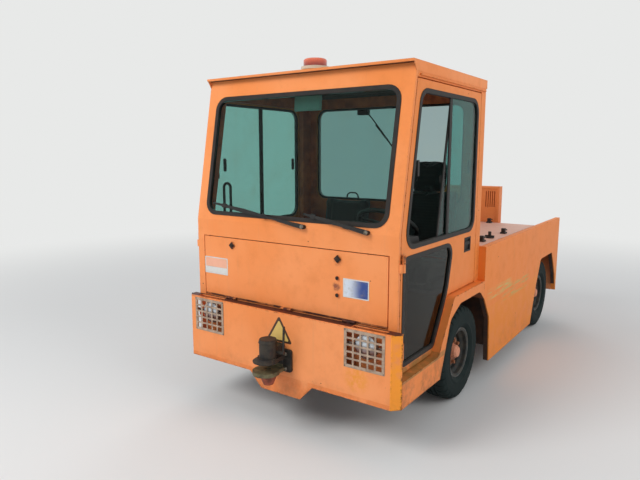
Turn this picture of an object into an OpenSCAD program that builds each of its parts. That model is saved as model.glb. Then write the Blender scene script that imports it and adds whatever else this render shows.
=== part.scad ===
// Airport baggage tug: a cabbed tow tractor with a hinged engine deck and a jaw hitch at each end.
// It faces -Y with +Z up, and the origin is on the ground under the middle of the body.
// Depths, named with _d, are counted backwards from the front face of the bumper.

/* [Overall] */
// Length of the body, from the bumper's face to the rear panel
body_l = 3490; // [3440:10:3600]
// Width over the bumper, the sills and the rear body
body_w = 1600; // [1580:10:1640]
// From the body's side in to the cab's side
cab_inset = 50; // [46:1:54]
// Height of the roof's top above the ground
roof_z = 2139; // [2100:5:2200]
// Height of the engine deck and of the rear body's sides
deck_z = 1017; // [1000:1:1030]

/* [Wheels and axles] */
// Outer radius of a tyre
wheel_r = 320; // [312:1:324]
// Width of a tyre
tyre_w = 190; // [180:1:200]
// Radius of the rim's flange
rim_r = 170; // [164:1:176]
// From the body's side in to the tyre's outer face
wheel_inset = 48; // [44:1:56]
// From the front axle back to the cab's rear face
front_axle_set = 263; // [256:1:270]
// From the rear axle back to the rear panel
rear_overhang = 452; // [440:1:465]
// From the tyre's middle in to the kingpin
kingpin_offset = 112; // [108:1:118]
// Radius of a kingpin
kingpin_r = 16; // [14:1:18]
// Length of the steering arm behind the kingpin
arm_l = 130; // [124:1:136]
// Radius of a wheel spindle
spindle_r = 20; // [18:1:23]
// Radius of the rear axle's tube
axle_tube_r = 50; // [46:1:52]
// Radius of a brake drum
drum_r = 117; // [110:1:120]
// Radius of the circle of wheel nuts
nut_circle_r = 75; // [70:1:80]
// Number of nuts on a wheel
nut_count = 6; // [5:1:8]
// Number of leaves in a front spring
leaf_count = 3; // [2:1:4]

/* [Frame and driveline] */
// From the middle of the tug to the middle of a rail
rail_x = 300; // [290:1:305]
// Width of a rail
rail_w = 60; // [50:1:64]
// Height of a rail
rail_h = 100; // [90:1:110]
// Length of the engine
engine_l = 700; // [660:10:740]
// Length of the gearbox
gearbox_l = 250; // [230:10:280]
// From the cab's rear face to the engine
engine_gap = 120; // [110:5:140]

/* [Bumper and lamps] */
// Height of the bumper's top
bumper_top_z = 718; // [712:1:722]
// Height of the bumper's lower edge
bumper_bottom_z = 304; // [296:1:312]
// Height of the keel's lower edge
keel_z = 210; // [200:1:220]
// Half the keel's width at its lower edge
keel_bottom_x = 150; // [130:1:170]
// Half the keel's width where it meets the bumper
keel_top_x = 241; // [225:1:260]
// Thickness of the bumper's plate
bumper_t = 12; // [10:1:14]
// Size of the chamfer at the bumper's corners
corner_chamfer = 43; // [36:1:46]
// From the body's side in to the middle of a lamp grille
grille_inset = 210; // [200:1:220]
// Width of a lamp grille
grille_w = 256; // [240:1:262]
// Height of a lamp grille
grille_h = 220; // [200:1:224]
// Thickness of a lamp grille
grille_t = 3; // [2:0.5:4]
// Number of holes along and up a grille
grille_holes = 5; // [4:1:6]
// Width of the bars between a grille's holes
grille_bar = 11; // [9:1:13]
// Radius of a headlamp
lamp_r = 72; // [64:1:78]

/* [Cab] */
// Depth of the cab's front face
cab_front_d = 73; // [70:1:78]
// Length of the cab at its floor
cab_l = 1217; // [1200:1:1230]
// Lean of the windscreen from upright, in degrees
rake = 10.3; // [9:0.1:11]
// Height where the front starts to lean
kink_z = 1229; // [1222:1:1236]
// Thickness of the cab's front panel
front_t = 18; // [16:1:20]
// Depth of the windscreen posts
post_depth = 60; // [55:1:66]
// Width of the posts and rails round a door
post_w = 40; // [36:1:42]
// Thickness of the rear wall
rear_wall_t = 40; // [34:1:44]
// Thickness of the floor
floor_t = 30; // [26:1:34]
// From the cab's front face to the bulkhead behind the front hatch
locker_l = 162; // [156:1:168]
// Length of the floor's climb to the shelf over the wheels
climb_l = 222; // [210:1:235]
// From the shelf's front edge back to the front axle
climb_ahead = 285; // [278:1:292]
// Thickness between the wheel arch and the shelf over it
fender_t = 60; // [54:1:66]
// Height of the roof's edge
roof_h = 56; // [50:1:62]
// How far the roof reaches past the cab behind
roof_overhang = 21; // [15:1:26]
// How far the roof's front lip reaches past the leaning front
lip_reach = 46; // [36:1:54]
// Thickness of the roof's front lip
lip_t = 14; // [10:1:18]
// Depth of the beacon's middle
beacon_d = 375; // [365:1:385]
// Radius of the beacon's lens
beacon_r = 72; // [68:1:80]

/* [Windows] */
// From the cab's side to the windscreen's rubber
screen_side = 71; // [68:1:80]
// From the kink up to the windscreen's rubber, along the lean
screen_rise = 34; // [30:1:38]
// From the windscreen's rubber up to the roof, along the lean
screen_head = 65; // [60:1:80]
// Corner radius of the windscreen and of the rear window
screen_corner = 85; // [70:1:95]
// From the cab's side to the rear window's rubber
rear_window_side = 124; // [118:1:150]
// From the height of the kink up to the rear window's rubber
rear_window_rise = 55; // [50:1:80]
// From the rear window's rubber up to the roof
rear_window_head = 72; // [66:1:100]
// Width of the window rubber's outer lip
seal_w = 26; // [22:1:30]
// How far a window's rubber stands out of its panel
seal_proud = 4; // [3:0.5:6]
// Thickness of the panes
glass_t = 5; // [4:0.5:6]

/* [Doors] */
// Thickness of a door
door_t = 32; // [28:1:36]
// Gap round a door and round the lids
door_gap = 6; // [5:0.5:7]
// Width of the strip between a door and the cab's rear face
rear_strip_w = 85; // [80:1:92]
// From the kink down to the lower edge of a door's window
belt_drop = 86; // [80:1:92]
// Width of a door's rear stile, beside its window
door_stile = 41; // [38:1:50]
// Width of a door's front stile, beside its window
front_stile = 34; // [32:1:38]
// Height of a door's rail over its window
door_rail = 43; // [40:1:50]
// Corner radius of a door's window
window_corner = 95; // [80:1:100]
// From a door window's front edge to its fixed pane
fixed_pane_set = 566; // [550:1:580]
// Width of the upright profile on the fixed pane's edge
divider_w = 34; // [28:1:40]
// How far the left door's pane is slid back
pane_slide = 415; // [0:5:420]
// Radius of a door hinge's pin
hinge_pin_r = 5; // [4:0.5:6]
// Radius of a door hinge's barrel
hinge_barrel_r = 10; // [9:0.5:11]
// Height of a door hinge
hinge_h = 92; // [80:1:100]

/* [Front hatch] */
// From the bumper's top up to the hatch
hatch_gap = 7; // [6:0.5:8]
// From the kink down to the hatch
hatch_drop = 111; // [106:1:116]
// Thickness of the hatch
hatch_t = 12; // [10:1:13]
// Width of the corner post beside the hatch
corner_post_w = 55; // [50:1:60]

/* [Rear body] */
// Thickness of the rear body's side
side_t = 40; // [35:1:44]
// Lower edge of the skirt between the wheels
skirt_z = 144; // [140:1:160]
// Lower edge of the rear panel
rear_apron_z = 275; // [265:1:285]
// From the deck down to the top of the rear panel
rear_panel_drop = 137; // [110:1:160]
// Thickness of the rear panel
rear_panel_t = 30; // [26:1:34]
// Length of the open bed behind the deck
bed_l = 790; // [770:1:810]
// From the deck down to the bed
bed_drop = 267; // [255:1:280]
// Thickness of the deck's lid
deck_t = 28; // [24:1:32]
// From the deck's rear edge to the radiator housing
housing_gap = 35; // [32:1:45]
// Length of the radiator housing
housing_l = 80; // [70:1:90]
// Half the width of the radiator housing
housing_x = 418; // [405:1:425]
// Height of the radiator housing over the bed
housing_h = 600; // [570:1:630]
// Number of upright slots on each side of the radiator housing
slot_count = 5; // [4:1:6]

/* [Hitches] */
// Height of the front hitch's jaw
front_jaw_z = 428; // [420:1:436]
// Height of the rear hitch's jaw
rear_jaw_z = 440; // [430:1:446]
// From the panel out to the hole for the coupling pin
hitch_reach = 105; // [100:1:110]
// Height of the gap in the jaw
jaw_gap = 52; // [48:1:56]
// Radius of the lower jaw
jaw_r = 80; // [76:1:84]
// Radius of the hole for the coupling pin
coupling_r = 16; // [14:1:18]
// Width of the hitch's plate
hitch_plate_w = 200; // [190:1:220]
// Height of the hitch's plate
hitch_plate_h = 138; // [130:1:144]
// Length of the hitch's hand lever
lever_l = 160; // [140:1:164]

/* [Seat and controls] */
// Gap between the seat and the post beside it
seat_gap = 17; // [12:1:22]
// Width of the seat
seat_w = 470; // [440:1:490]
// Height of the seat's cushion over the shelf
seat_h = 166; // [150:1:180]
// From the middle of the tug to the middle of the passenger's seat
passenger_x = 245; // [235:1:255]
// Width of the passenger's seat
passenger_w = 430; // [410:1:450]
// Height of the passenger's backrest over the cushion
passenger_back_h = 394; // [370:1:410]
// From the cab's rear face to the seat's back
seat_set = 130; // [120:1:140]
// From the bulkhead to the steering wheel's middle
steering_set = 325; // [315:1:335]
// From the kink down to the steering wheel's middle
steering_drop = 14; // [0:1:24]
// Lean of the steering column from upright, in degrees
column_lean = 35; // [32:1:38]
// Radius of the steering wheel
steering_r = 200; // [190:1:205]

/* [Hidden] */

$fn = 48;

orange = [0.93, 0.47, 0.16];
bleached = [0.88, 0.66, 0.56];
black = [0.08, 0.08, 0.09];
rubber = [0.06, 0.05, 0.05];
steel = [0.62, 0.61, 0.56];
dark_steel = [0.17, 0.17, 0.18];
lamp_red = [0.7, 0.05, 0.03];
beacon_orange = [0.95, 0.3, 0.12];
beacon_cream = [0.75, 0.68, 0.55];
glass = [0.55, 0.72, 0.70, 0.5];

// Clearance between pieces of one body that fit into each other
fit = 0.3;

half_w = body_w / 2;
cab_x = half_w - cab_inset;
cab_rear_d = cab_front_d + cab_l;
cab_back_in_d = cab_rear_d - rear_wall_t;
axle_z = wheel_r;
front_axle_d = cab_rear_d - front_axle_set;
rear_axle_d = body_l - rear_overhang;
tyre_x = half_w - wheel_inset - tyre_w / 2;
kingpin_x = tyre_x - kingpin_offset;
tyre_top_z = 2 * wheel_r;

rail_bottom_z = axle_z + axle_tube_r;
rail_top_z = rail_bottom_z + rail_h;
rail_in_x = rail_x - rail_w / 2;
rail_out_x = rail_x + rail_w / 2;
floor_z = rail_top_z + floor_t;
// The arches rise this far over the tyres
arch_rise = 74;
shelf_z = tyre_top_z + arch_rise + fender_t;
// The sill's top lies this far under the rails' top
sill_z = rail_top_z - 15;
climb_end_d = front_axle_d - climb_ahead;
climb_start_d = climb_end_d - climb_l;
bulkhead_d = cab_front_d + locker_l;
bulkhead_t = 25;

roof_bottom_z = roof_z - roof_h;
side_in_x = half_w - side_t;
door_in_x = cab_x - door_t;
// Outer face of the posts that a door closes against
frame_x = door_in_x - door_gap;
post_in_x = frame_x - post_w;
belt_z = kink_z - belt_drop;
hatch_bottom_z = bumper_top_z + hatch_gap;
hatch_top_z = kink_z - hatch_drop;
deck_rear_d = body_l - bed_l;
bed_z = deck_z - bed_drop;

// Depth of the leaning front at a height, some way behind its outer face
function lean_d(z, behind = 0) = z < kink_z ? cab_front_d + behind
    : cab_front_d + behind / cos(rake) + (z - kink_z) * tan(rake);
function mm(v) = v / norm(v);
// Arc that rounds the corner p between a and b
function corner(a, p, b, r, n) = r <= 0 ? [p] :
    let (u = mm(a - p), v = mm(b - p), half = acos(u * v) / 2, c = p + mm(u + v) * r / sin(half),
        s = p + u * r / tan(half) - c, e = p + v * r / tan(half) - c,
        a0 = atan2(s.y, s.x), turn = atan2(e.y, e.x) - a0,
        t = turn > 180 ? turn - 360 : turn < -180 ? turn + 360 : turn)
    [for (i = [0:n]) c + r * [cos(a0 + t * i / n), sin(a0 + t * i / n)]];
// Outline with its corners rounded, by one radius or by one for each corner
function rounded(p, r, n = 6) = [for (i = [0:len(p) - 1])
    each corner(p[(i + len(p) - 1) % len(p)], p[i], p[(i + 1) % len(p)], is_list(r) ? r[i] : r, n)];
// Convex outline moved in by d on every side
function inset(p, d) = [for (i = [0:len(p) - 1])
    let (u = mm(p[(i + len(p) - 1) % len(p)] - p[i]), v = mm(p[(i + 1) % len(p)] - p[i]))
    p[i] + mm(u + v) * d / sin(acos(u * v) / 2)];
function less(r, d) = is_list(r) ? [for (x = r) max(x - d, 1)] : max(r - d, 1);
function box_outline(x0, x1, y0, y1) = [[x0, y0], [x1, y0], [x1, y1], [x0, y1]];
// Point at depth d on the line from a to b
function on_line(a, b, d) = [d, a.y + (b.y - a.y) * (d - a.x) / (b.x - a.x)];

// Places what is drawn with depths along Y
module from_front() {
    translate([0, -body_l / 2, 0]) children();
}
module both_sides() {
    children();
    mirror([1, 0, 0]) children();
}
module left_if(left) {
    if (left) children();
    else mirror([1, 0, 0]) children();
}
// Outline of depth and height, drawn out across the tug from x0 to x1
module across(x0, x1) {
    translate([x0, 0, 0]) rotate([90, 0, 90]) linear_extrude(x1 - x0) children();
}
// Outline of width and height, drawn out along the tug from depth d0 to d1
module along(d0, d1) {
    translate([0, d1, 0]) rotate([90, 0, 0]) linear_extrude(d1 - d0) children();
}
module block(x0, x1, d0, d1, z0, z1) {
    translate([x0, d0, z0]) cube([x1 - x0, d1 - d0, z1 - z0]);
}
// Round bar from x0 to x1, with its axis at a depth and a height
module cross_bar(x0, x1, d, z, r) {
    translate([x0, d, z]) rotate([0, 90, 0]) cylinder(r = r, h = x1 - x0);
}
// Round bar from depth d0 to d1
module long_bar(x, d0, d1, z, r) {
    translate([x, d0, z]) rotate([-90, 0, 0]) cylinder(r = r, h = d1 - d0);
}
// Plane of the windscreen, with its own Y up the lean and its own Z out to the front
module on_lean() {
    translate([0, cab_front_d, kink_z]) rotate([90 - rake, 0, 0]) children();
}
module ring(outline, radius, width, n = 6) {
    difference() {
        polygon(rounded(outline, radius, n));
        polygon(rounded(inset(outline, width), less(radius, width), n));
    }
}
module pane(outline, radius, margin, n = 6) {
    polygon(rounded(inset(outline, margin), less(radius, margin), n));
}

// Width of the rubber's lip on the panel, and depth of its neck in the panel's opening
seal_lip = 10;
seal_neck = 20;
// Window rubber in a panel whose outer face is at t: the lip lies on the face, the neck in the opening
module window_rubber(outline, radius, t) {
    translate([0, 0, t]) linear_extrude(seal_proud) ring(outline, radius, seal_w);
    translate([0, 0, t - seal_neck]) linear_extrude(seal_neck) difference() {
        pane(outline, radius, seal_lip + fit);
        pane(outline, radius, seal_w);
    }
}

// Frame

cross_w = 50;
cross_depths = [bumper_t, climb_start_d + 40, cab_rear_d + 40, rear_axle_d - 458, body_l - 90];
outrigger_depths = [cab_rear_d + 190, deck_rear_d - 250];
// How far the cross members and outriggers stay inside the rails' height
cross_step = 10;
outrigger_step = 20;

module frame_rails() {
    color(dark_steel) from_front() {
        both_sides() {
            block(rail_in_x, rail_out_x, bumper_t, body_l - rear_panel_t, rail_bottom_z, rail_top_z);
            for (d = outrigger_depths)
                block(rail_out_x, side_in_x, d, d + cross_w, rail_bottom_z + outrigger_step, rail_top_z);
            block(rail_out_x, cab_x - 60, bumper_t, bumper_t + 45, rail_bottom_z + 30, rail_top_z);
        }
        for (d = cross_depths)
            block(-rail_in_x, rail_in_x, d, d + cross_w,
                rail_bottom_z + cross_step, rail_top_z - cross_step);
        // stay behind the keel
        block(-keel_bottom_x, keel_bottom_x, bumper_t, bumper_t + 20,
            keel_z + 30, rail_bottom_z + cross_step);
    }
}

// Front bumper, lamps and hitches

grille_x = half_w - grille_inset;
grille_z = bumper_top_z - 8 - grille_h;
// How far a grille overlaps the edge of its opening
grille_lap = 9;
ledge_t = 10;
hatch_pin_r = 3;
hatch_barrel_r = 7;
hatch_axis_d = cab_front_d - hatch_barrel_r - 1;
hatch_axis_z = bumper_top_z + hatch_barrel_r + 1.5;
hatch_x = cab_x - corner_post_w;
// From the middle of the tug to the outer hatch hinges
hatch_hinge_x = hatch_x - 245;
hatch_knuckle_l = 26;

module bumper_plan(t) {
    x = half_w;
    c = corner_chamfer;
    k = t * tan(22.5);
    polygon([[-x, c], [-x + c, 0], [x - c, 0], [x, c],
        [x - t, c], [x - c - k, t], [-x + c + k, t], [-x + t, c]]);
}
module front_bumper() {
    ledge_back = cab_front_d - 1;
    side = half_w - bumper_t;
    color(orange) from_front() {
        difference() {
            union() {
                translate([0, 0, bumper_bottom_z]) linear_extrude(bumper_top_z - bumper_bottom_z)
                    bumper_plan(bumper_t);
                // ledge between the bumper and the hatch
                translate([0, 0, bumper_top_z - ledge_t]) linear_extrude(ledge_t) polygon([
                    [-half_w + corner_chamfer, bumper_t / 2], [half_w - corner_chamfer, bumper_t / 2],
                    [side, corner_chamfer], [side, ledge_back],
                    [-side, ledge_back], [-side, corner_chamfer]]);
                // keel under the hitch
                along(0, bumper_t) polygon([[-keel_bottom_x, keel_z], [keel_bottom_x, keel_z],
                    [keel_top_x, bumper_bottom_z + 1], [-keel_top_x, bumper_bottom_z + 1]]);
            }
            both_sides() {
                along(-1, bumper_t + 1)
                    translate([grille_x - grille_w / 2 + grille_lap, grille_z + grille_lap])
                    square([grille_w - 2 * grille_lap, grille_h - 2 * grille_lap]);
                // slot in the ledge over a lamp
                block(grille_x - grille_w / 2 + 30, grille_x + grille_w / 2 - 4,
                    bumper_t + 4, ledge_back - 11, bumper_top_z - 2 * ledge_t, bumper_top_z + 1);
            }
        }
        // middle barrels of the hatch's hinges, with their pins and feet
        for (x = [-hatch_hinge_x, 0, hatch_hinge_x]) {
            half = hatch_knuckle_l / 2;
            cross_bar(x - half, x + half, hatch_axis_d, hatch_axis_z, hatch_barrel_r);
            cross_bar(x - 3 * half, x + 3 * half, hatch_axis_d, hatch_axis_z, hatch_pin_r);
            block(x - half, x + half, hatch_axis_d - hatch_barrel_r, hatch_axis_d + hatch_barrel_r - 1,
                bumper_top_z - 1, hatch_axis_z);
        }
    }
}
module lamp_grilles() {
    border = 12 + grille_bar / 2;
    pitch_x = (grille_w - 2 * border + grille_bar) / grille_holes;
    pitch_z = (grille_h - 2 * border + grille_bar) / grille_holes;
    color(steel) from_front() both_sides() along(-grille_t, 0)
        translate([grille_x - grille_w / 2, grille_z]) difference() {
            square([grille_w, grille_h]);
            for (i = [0:grille_holes - 1], j = [0:grille_holes - 1])
                translate([border + i * pitch_x, border + j * pitch_z])
                    square([pitch_x - grille_bar, pitch_z - grille_bar]);
        }
}
module headlamps() {
    lamp_z = grille_z + grille_h - lamp_r - 16;
    bracket_x = grille_w / 2 + 6;
    color(steel) from_front() both_sides() {
        // bowl with its rim in front and its socket behind
        translate([grille_x, bumper_t + 4, lamp_z]) rotate([-90, 0, 0]) rotate_extrude()
            polygon([[0, 6], [lamp_r * 0.6, 4], [lamp_r - 6, 0], [lamp_r, 2], [lamp_r, 14], [lamp_r - 8, 24],
                [lamp_r * 0.7, 44], [24, 56], [0, 56]]);
        block(grille_x - bracket_x, grille_x + bracket_x, bumper_t, bumper_t + 8, lamp_z - 12, lamp_z + 12);
    }
}

hitch_plate_t = 16;
// The plate's middle lies this far over the jaw's
hitch_plate_rise = 9;
hitch_bolt_in = 34;
hitch_bolt_z = 46;
jaw_t = 22;
// The lower jaw's middle lies this far ahead of the pin's hole
jaw_ahead = 20;
// Height of the foot under the lower jaw
jaw_foot_h = 70;
pin_housing_r = 52;
pin_housing_h = 92;

// Jaw hitch that looks towards -Y, with its plate on the plane y = 0 and its jaw at height z
module hitch(z) {
    top = z + jaw_gap / 2;
    bottom = z - jaw_gap / 2;
    foot_z = bottom - jaw_t - jaw_foot_h;
    jaw_x = jaw_r * 0.8;
    jaw_y = -hitch_reach - jaw_ahead;
    housing_z = top + 20;
    lever_y = 24 - hitch_reach;
    lever_z = housing_z + 36;
    into_plate = 8 - hitch_plate_t;
    translate([0, 0, z + hitch_plate_rise]) along(-hitch_plate_t, 0) polygon(rounded(box_outline(
        -hitch_plate_w / 2, hitch_plate_w / 2, -hitch_plate_h / 2, hitch_plate_h / 2), 12));
    // lower jaw, with the hole that the coupling pin drops into
    difference() {
        union() {
            translate([0, jaw_y, bottom - jaw_t]) cylinder(r = jaw_r, h = jaw_t);
            block(-jaw_x, jaw_x, jaw_y, into_plate, bottom - jaw_t, bottom);
            translate([0, -hitch_reach, foot_z])
                cylinder(r1 = coupling_r + 14, r2 = jaw_r * 0.75, h = jaw_foot_h + 0.5);
            across(-14, 14) polygon([[-hitch_reach, bottom - jaw_t + 1], [into_plate, bottom - jaw_t + 1],
                [into_plate, bottom - jaw_t - 30]]);
        }
        translate([0, -hitch_reach, foot_z - 1]) cylinder(r = coupling_r, h = jaw_foot_h + jaw_t + 2);
    }
    // throat behind the jaw
    block(-jaw_r * 0.62, jaw_r * 0.62, -32, into_plate, bottom - 1, top + 1);
    // upper jaw with its thin lip
    translate([0, jaw_y, top]) rotate_extrude() polygon([[0, 0], [jaw_r - 4, 0], [jaw_r - 2, 6],
        [jaw_r * 0.66, 22], [0, 22]]);
    block(-jaw_x, jaw_x, jaw_y, into_plate, top, top + 22);
    // housing of the pin, with its cap and hand lever
    translate([0, -hitch_reach, housing_z]) cylinder(r = pin_housing_r, h = pin_housing_h);
    block(-40, 40, -hitch_reach, into_plate, housing_z, housing_z + 64);
    translate([0, -hitch_reach, housing_z + pin_housing_h - 0.5])
        cylinder(r1 = pin_housing_r + 4, r2 = pin_housing_r - 2, h = 20);
    cross_bar(36, 102, lever_y, lever_z, 10);
    translate([96, lever_y, lever_z]) rotate([0, 2, 0]) cylinder(r = 7, h = lever_l);
    for (sx = [-1, 1], sz = [-1, 1])
        long_bar(sx * (hitch_plate_w / 2 - hitch_bolt_in), -hitch_plate_t - 10, 2 - hitch_plate_t,
            z + hitch_plate_rise + sz * hitch_bolt_z, 11);
}
module tow_hitches() {
    color(dark_steel) {
        from_front() hitch(front_jaw_z);
        translate([0, body_l / 2, 0]) rotate([0, 0, 180]) hitch(rear_jaw_z);
    }
}

// Sills, fenders and rear body

// Arches over a front and a rear wheel. Each row is the side of the axle, with -1 ahead of it, how far
// beyond the tyre's radius, how far over the tyre's top, and the corner's radius.
front_arch = [[-1, 155, -336, 0], [-1, 15, 2, 50], [-1, -140, arch_rise, 60], [1, -145, arch_rise, 60],
    [1, -45, 0, 40], [1, 74, -163, 30], [1, 99, -496, 0]];
rear_arch = [[-1, 152, -496, 0], [-1, 35, -208, 40], [-1, -113, 55, 40], [1, -106, 55, 40],
    [1, 65, -201, 40], [1, 112, -365, 0]];

module arch(rows, axle_d) {
    edge = [for (row = rows) let (side = row[0], beyond = row[1], over = row[2])
        [axle_d + side * (wheel_r + beyond), tyre_top_z + over]];
    ground = [[edge[len(edge) - 1].x, -1], [edge[0].x, -1]];
    polygon(rounded(concat(edge, ground), concat([for (row = rows) row[3]], [0, 0]), 5));
}
module front_fenders() {
    front_d = corner_chamfer + 2;
    outline = [[front_d, sill_z], [front_d, bumper_bottom_z], [cab_rear_d, bumper_bottom_z],
        [cab_rear_d, shelf_z], [climb_end_d, shelf_z], [climb_start_d, sill_z]];
    color(orange) from_front() both_sides() across(frame_x + fit, half_w) difference() {
        polygon(rounded(outline, [0, 0, 0, 0, 40, 40], 5));
        arch(front_arch, front_axle_d);
    }
}
ledge_w = 34;
module rear_sides() {
    front_d = cab_rear_d + fit;
    color(orange) from_front() {
        both_sides() {
            across(side_in_x, half_w) difference() {
                polygon([[front_d, deck_z], [front_d, skirt_z], [rear_axle_d, skirt_z],
                    [rear_axle_d, rear_apron_z], [body_l, rear_apron_z], [body_l, deck_z]]);
                arch(front_arch, front_axle_d);
                arch(rear_arch, rear_axle_d);
            }
            // ledge under the edge of the deck's lid
            block(side_in_x - ledge_w, side_in_x + 1, cab_rear_d + 2, deck_rear_d,
                deck_z - deck_t - 20, deck_z - deck_t - 5);
        }
        // wall between the cab and the engine, narrow where the front wheels turn
        along(front_d, cab_rear_d + bay_wall_t) {
            translate([-side_in_x - 1, shelf_z - floor_t])
                square([2 * side_in_x + 2, deck_z - shelf_z + floor_t]);
            translate([-rail_out_x - 40, rail_top_z])
                square([2 * rail_out_x + 80, shelf_z - floor_t - rail_top_z + 1]);
        }
        // splash walls behind the front wheels
        both_sides() block(rail_out_x + fit, side_in_x + 1, splash_d, splash_d + splash_t,
            skirt_z + 110, deck_z - deck_t - 5);
        deck_hinge_seats();
    }
}

bay_wall_t = 28;
// The walls stand behind the rear edge of the front arches
splash_d = front_axle_d + wheel_r + 106;
splash_t = 10;
lid_x = side_in_x - door_gap;
lid_front_d = cab_rear_d + bay_wall_t + door_gap;
lid_hinge_r = 7;
lid_pin_r = 3;
lid_hinge_x = side_in_x + 2;
lid_hinge_z = deck_z + lid_hinge_r + 1;
lid_knuckle_l = 60;
lid_seat_l = 30;
// From the lid's front and rear edges to its outer hinges
lid_hinge_end = 236;
lid_hinge_pitch = (deck_rear_d - lid_front_d - 2 * lid_hinge_end) / 2;
lid_hinge_depths = [for (i = [0:2]) lid_front_d + lid_hinge_end + i * lid_hinge_pitch - lid_knuckle_l / 2];

module deck_lid() {
    color(bleached) from_front() {
        block(-lid_x, lid_x, lid_front_d, deck_rear_d, deck_z - deck_t, deck_z);
        for (d = lid_hinge_depths) {
            difference() {
                long_bar(-lid_hinge_x, d, d + lid_knuckle_l, lid_hinge_z, lid_hinge_r);
                long_bar(-lid_hinge_x, d - 1, d + lid_knuckle_l + 1, lid_hinge_z, lid_pin_r + fit);
            }
            block(-lid_hinge_x + lid_hinge_r - 2.5, -lid_x + 60, d, d + lid_knuckle_l, deck_z, deck_z + 5);
        }
    }
}
// Outer barrels of the lid's hinges on the body's side, with their pins
module deck_hinge_seats() {
    for (d = lid_hinge_depths) {
        long_bar(-lid_hinge_x, d - lid_seat_l - 2, d + lid_knuckle_l + lid_seat_l + 2,
            lid_hinge_z, lid_pin_r);
        for (d0 = [d - lid_seat_l - 2, d + lid_knuckle_l + 2]) {
            long_bar(-lid_hinge_x, d0, d0 + lid_seat_l, lid_hinge_z, lid_hinge_r);
            block(-lid_hinge_x - 12, -side_in_x, d0, d0 + lid_seat_l, deck_z - 0.5, lid_hinge_z - 0.5);
        }
    }
}
bed_t = 30;
rear_panel_top_z = deck_z - rear_panel_drop;
module rear_bed() {
    front = deck_rear_d + door_gap;
    back = body_l - rear_panel_t;
    color(orange) from_front() {
        block(-side_in_x, side_in_x, front, back, bed_z - bed_t, bed_z);
        // wall under the deck's rear edge
        block(-side_in_x, side_in_x, front, front + 15, bed_z - 1, deck_z - 4);
        // rear panel that carries the hitch and the lamps
        block(-side_in_x, side_in_x, back, body_l, rear_apron_z, rear_panel_top_z);
        // webs down to the rails
        both_sides() block(rail_in_x, rail_out_x, front, back, rail_top_z, bed_z - bed_t + 1);
    }
}
// Radiator housing: a flat case with a raised border and with upright slots near its upper corners
housing_rim = 22;
housing_sunk = 6;
slot_w = 9;
slot_h = 150;
slot_pitch = 20;
slot_l = 40;
// From the case's side in to the first slot, and from its top down to the slots
slot_in = 42;
slot_drop = 44;
module radiator_housing() {
    front = deck_rear_d + housing_gap;
    back = front + housing_l;
    top = bed_z + housing_h;
    in_x = housing_x - housing_rim;
    color(orange) from_front() difference() {
        block(-housing_x, housing_x, front, back, bed_z, top);
        // fields inside the border, in front and behind
        for (d = [front - 1, back - housing_sunk])
            block(-in_x, in_x, d, d + 1 + housing_sunk, deck_z + housing_rim, top - housing_rim);
        for (i = [0:slot_count - 1]) {
            x = housing_x - slot_in - i * slot_pitch;
            both_sides() block(x - slot_w, x, front - 1, front + slot_l,
                top - slot_drop - slot_h, top - slot_drop);
        }
    }
}
// The lid's hardware stands this far in from its left edge
latch_in = 64;
// Latches, by their places from the lid's left edge and from its front edge
latch_places = [[latch_in, 186], [latch_in, 696], [latch_in + 330, deck_rear_d - lid_front_d - 44]];
filler_set = 396;
module deck_latches() {
    x = lid_x - latch_in;
    filler_d = lid_front_d + filler_set;
    color(black) from_front() {
        for (place = latch_places) translate([lid_x - place[0], lid_front_d + place[1], deck_z]) {
            block(-20, 22, -26, 26, 0, 12);
            block(-14, 14, -16, 16, 11, 42);
            translate([5, 0, 30]) rotate([-96, 0, 0]) cylinder(r = 6, h = 66);
        }
        // filler cap with its T grip
        translate([x - 12, filler_d, deck_z]) cylinder(r = 34, h = 10);
        translate([x - 12, filler_d, deck_z + 9]) cylinder(r = 12, h = 40);
        block(x - 46, x + 22, filler_d - 8, filler_d + 8, deck_z + 9, deck_z + 20);
    }
}
module rear_lamps() {
    top = rear_panel_top_z - 140;
    color(lamp_red) from_front() both_sides() along(body_l, body_l + 34)
        polygon(rounded(box_outline(half_w - 320, half_w - 120, top - 100, top), 16));
}

// Cab

dash_bottom_z = kink_z - 209;
mid_beam_top_z = kink_z - 20;
beam_depth = 32;
front_post_d = cab_front_d + front_t + post_depth;

module cab_floor() {
    t = floor_t;
    // the upper face turns a little ahead of the lower one
    k = t * 0.52;
    front = cab_front_d + front_t + fit;
    back = cab_back_in_d - fit;
    low = climb_start_d + 6;
    high = climb_end_d - 10;
    profile = [[front, rail_top_z], [low, rail_top_z], [high, shelf_z - t], [back, shelf_z - t],
        [back, shelf_z], [high - k, shelf_z], [low - k, floor_z], [front, floor_z]];
    color(orange) from_front() {
        difference() {
            across(-frame_x, frame_x) polygon(profile);
            both_sides() block(post_in_x - 1, frame_x + 1, 0, front_post_d + fit,
                rail_top_z - 1, floor_z + 1);
        }
        // bulkhead between the front locker and the footwell
        block(-frame_x, frame_x, bulkhead_d, bulkhead_d + bulkhead_t, floor_z - 1, dash_bottom_z);
        // inner walls of the wheel housings, standing on the rails
        both_sides() block(rail_in_x, rail_out_x, climb_end_d, back, rail_top_z, shelf_z - t + 1);
    }
}

screen_top = (roof_bottom_z - kink_z) / cos(rake) - screen_head;
screen_outline = box_outline(screen_side - cab_x, cab_x - screen_side, screen_rise, screen_top);
rear_window_outline = box_outline(rear_window_side - cab_x, cab_x - rear_window_side,
    kink_z + rear_window_rise, roof_bottom_z - rear_window_head);

function front_profile(z0, z1, depth) =
    [[cab_front_d, z0], [cab_front_d, kink_z], [lean_d(z1), z1], [lean_d(z1, depth), z1],
    [cab_front_d + depth, kink_z + depth * tan(rake / 2)], [cab_front_d + depth, z0]];

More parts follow.
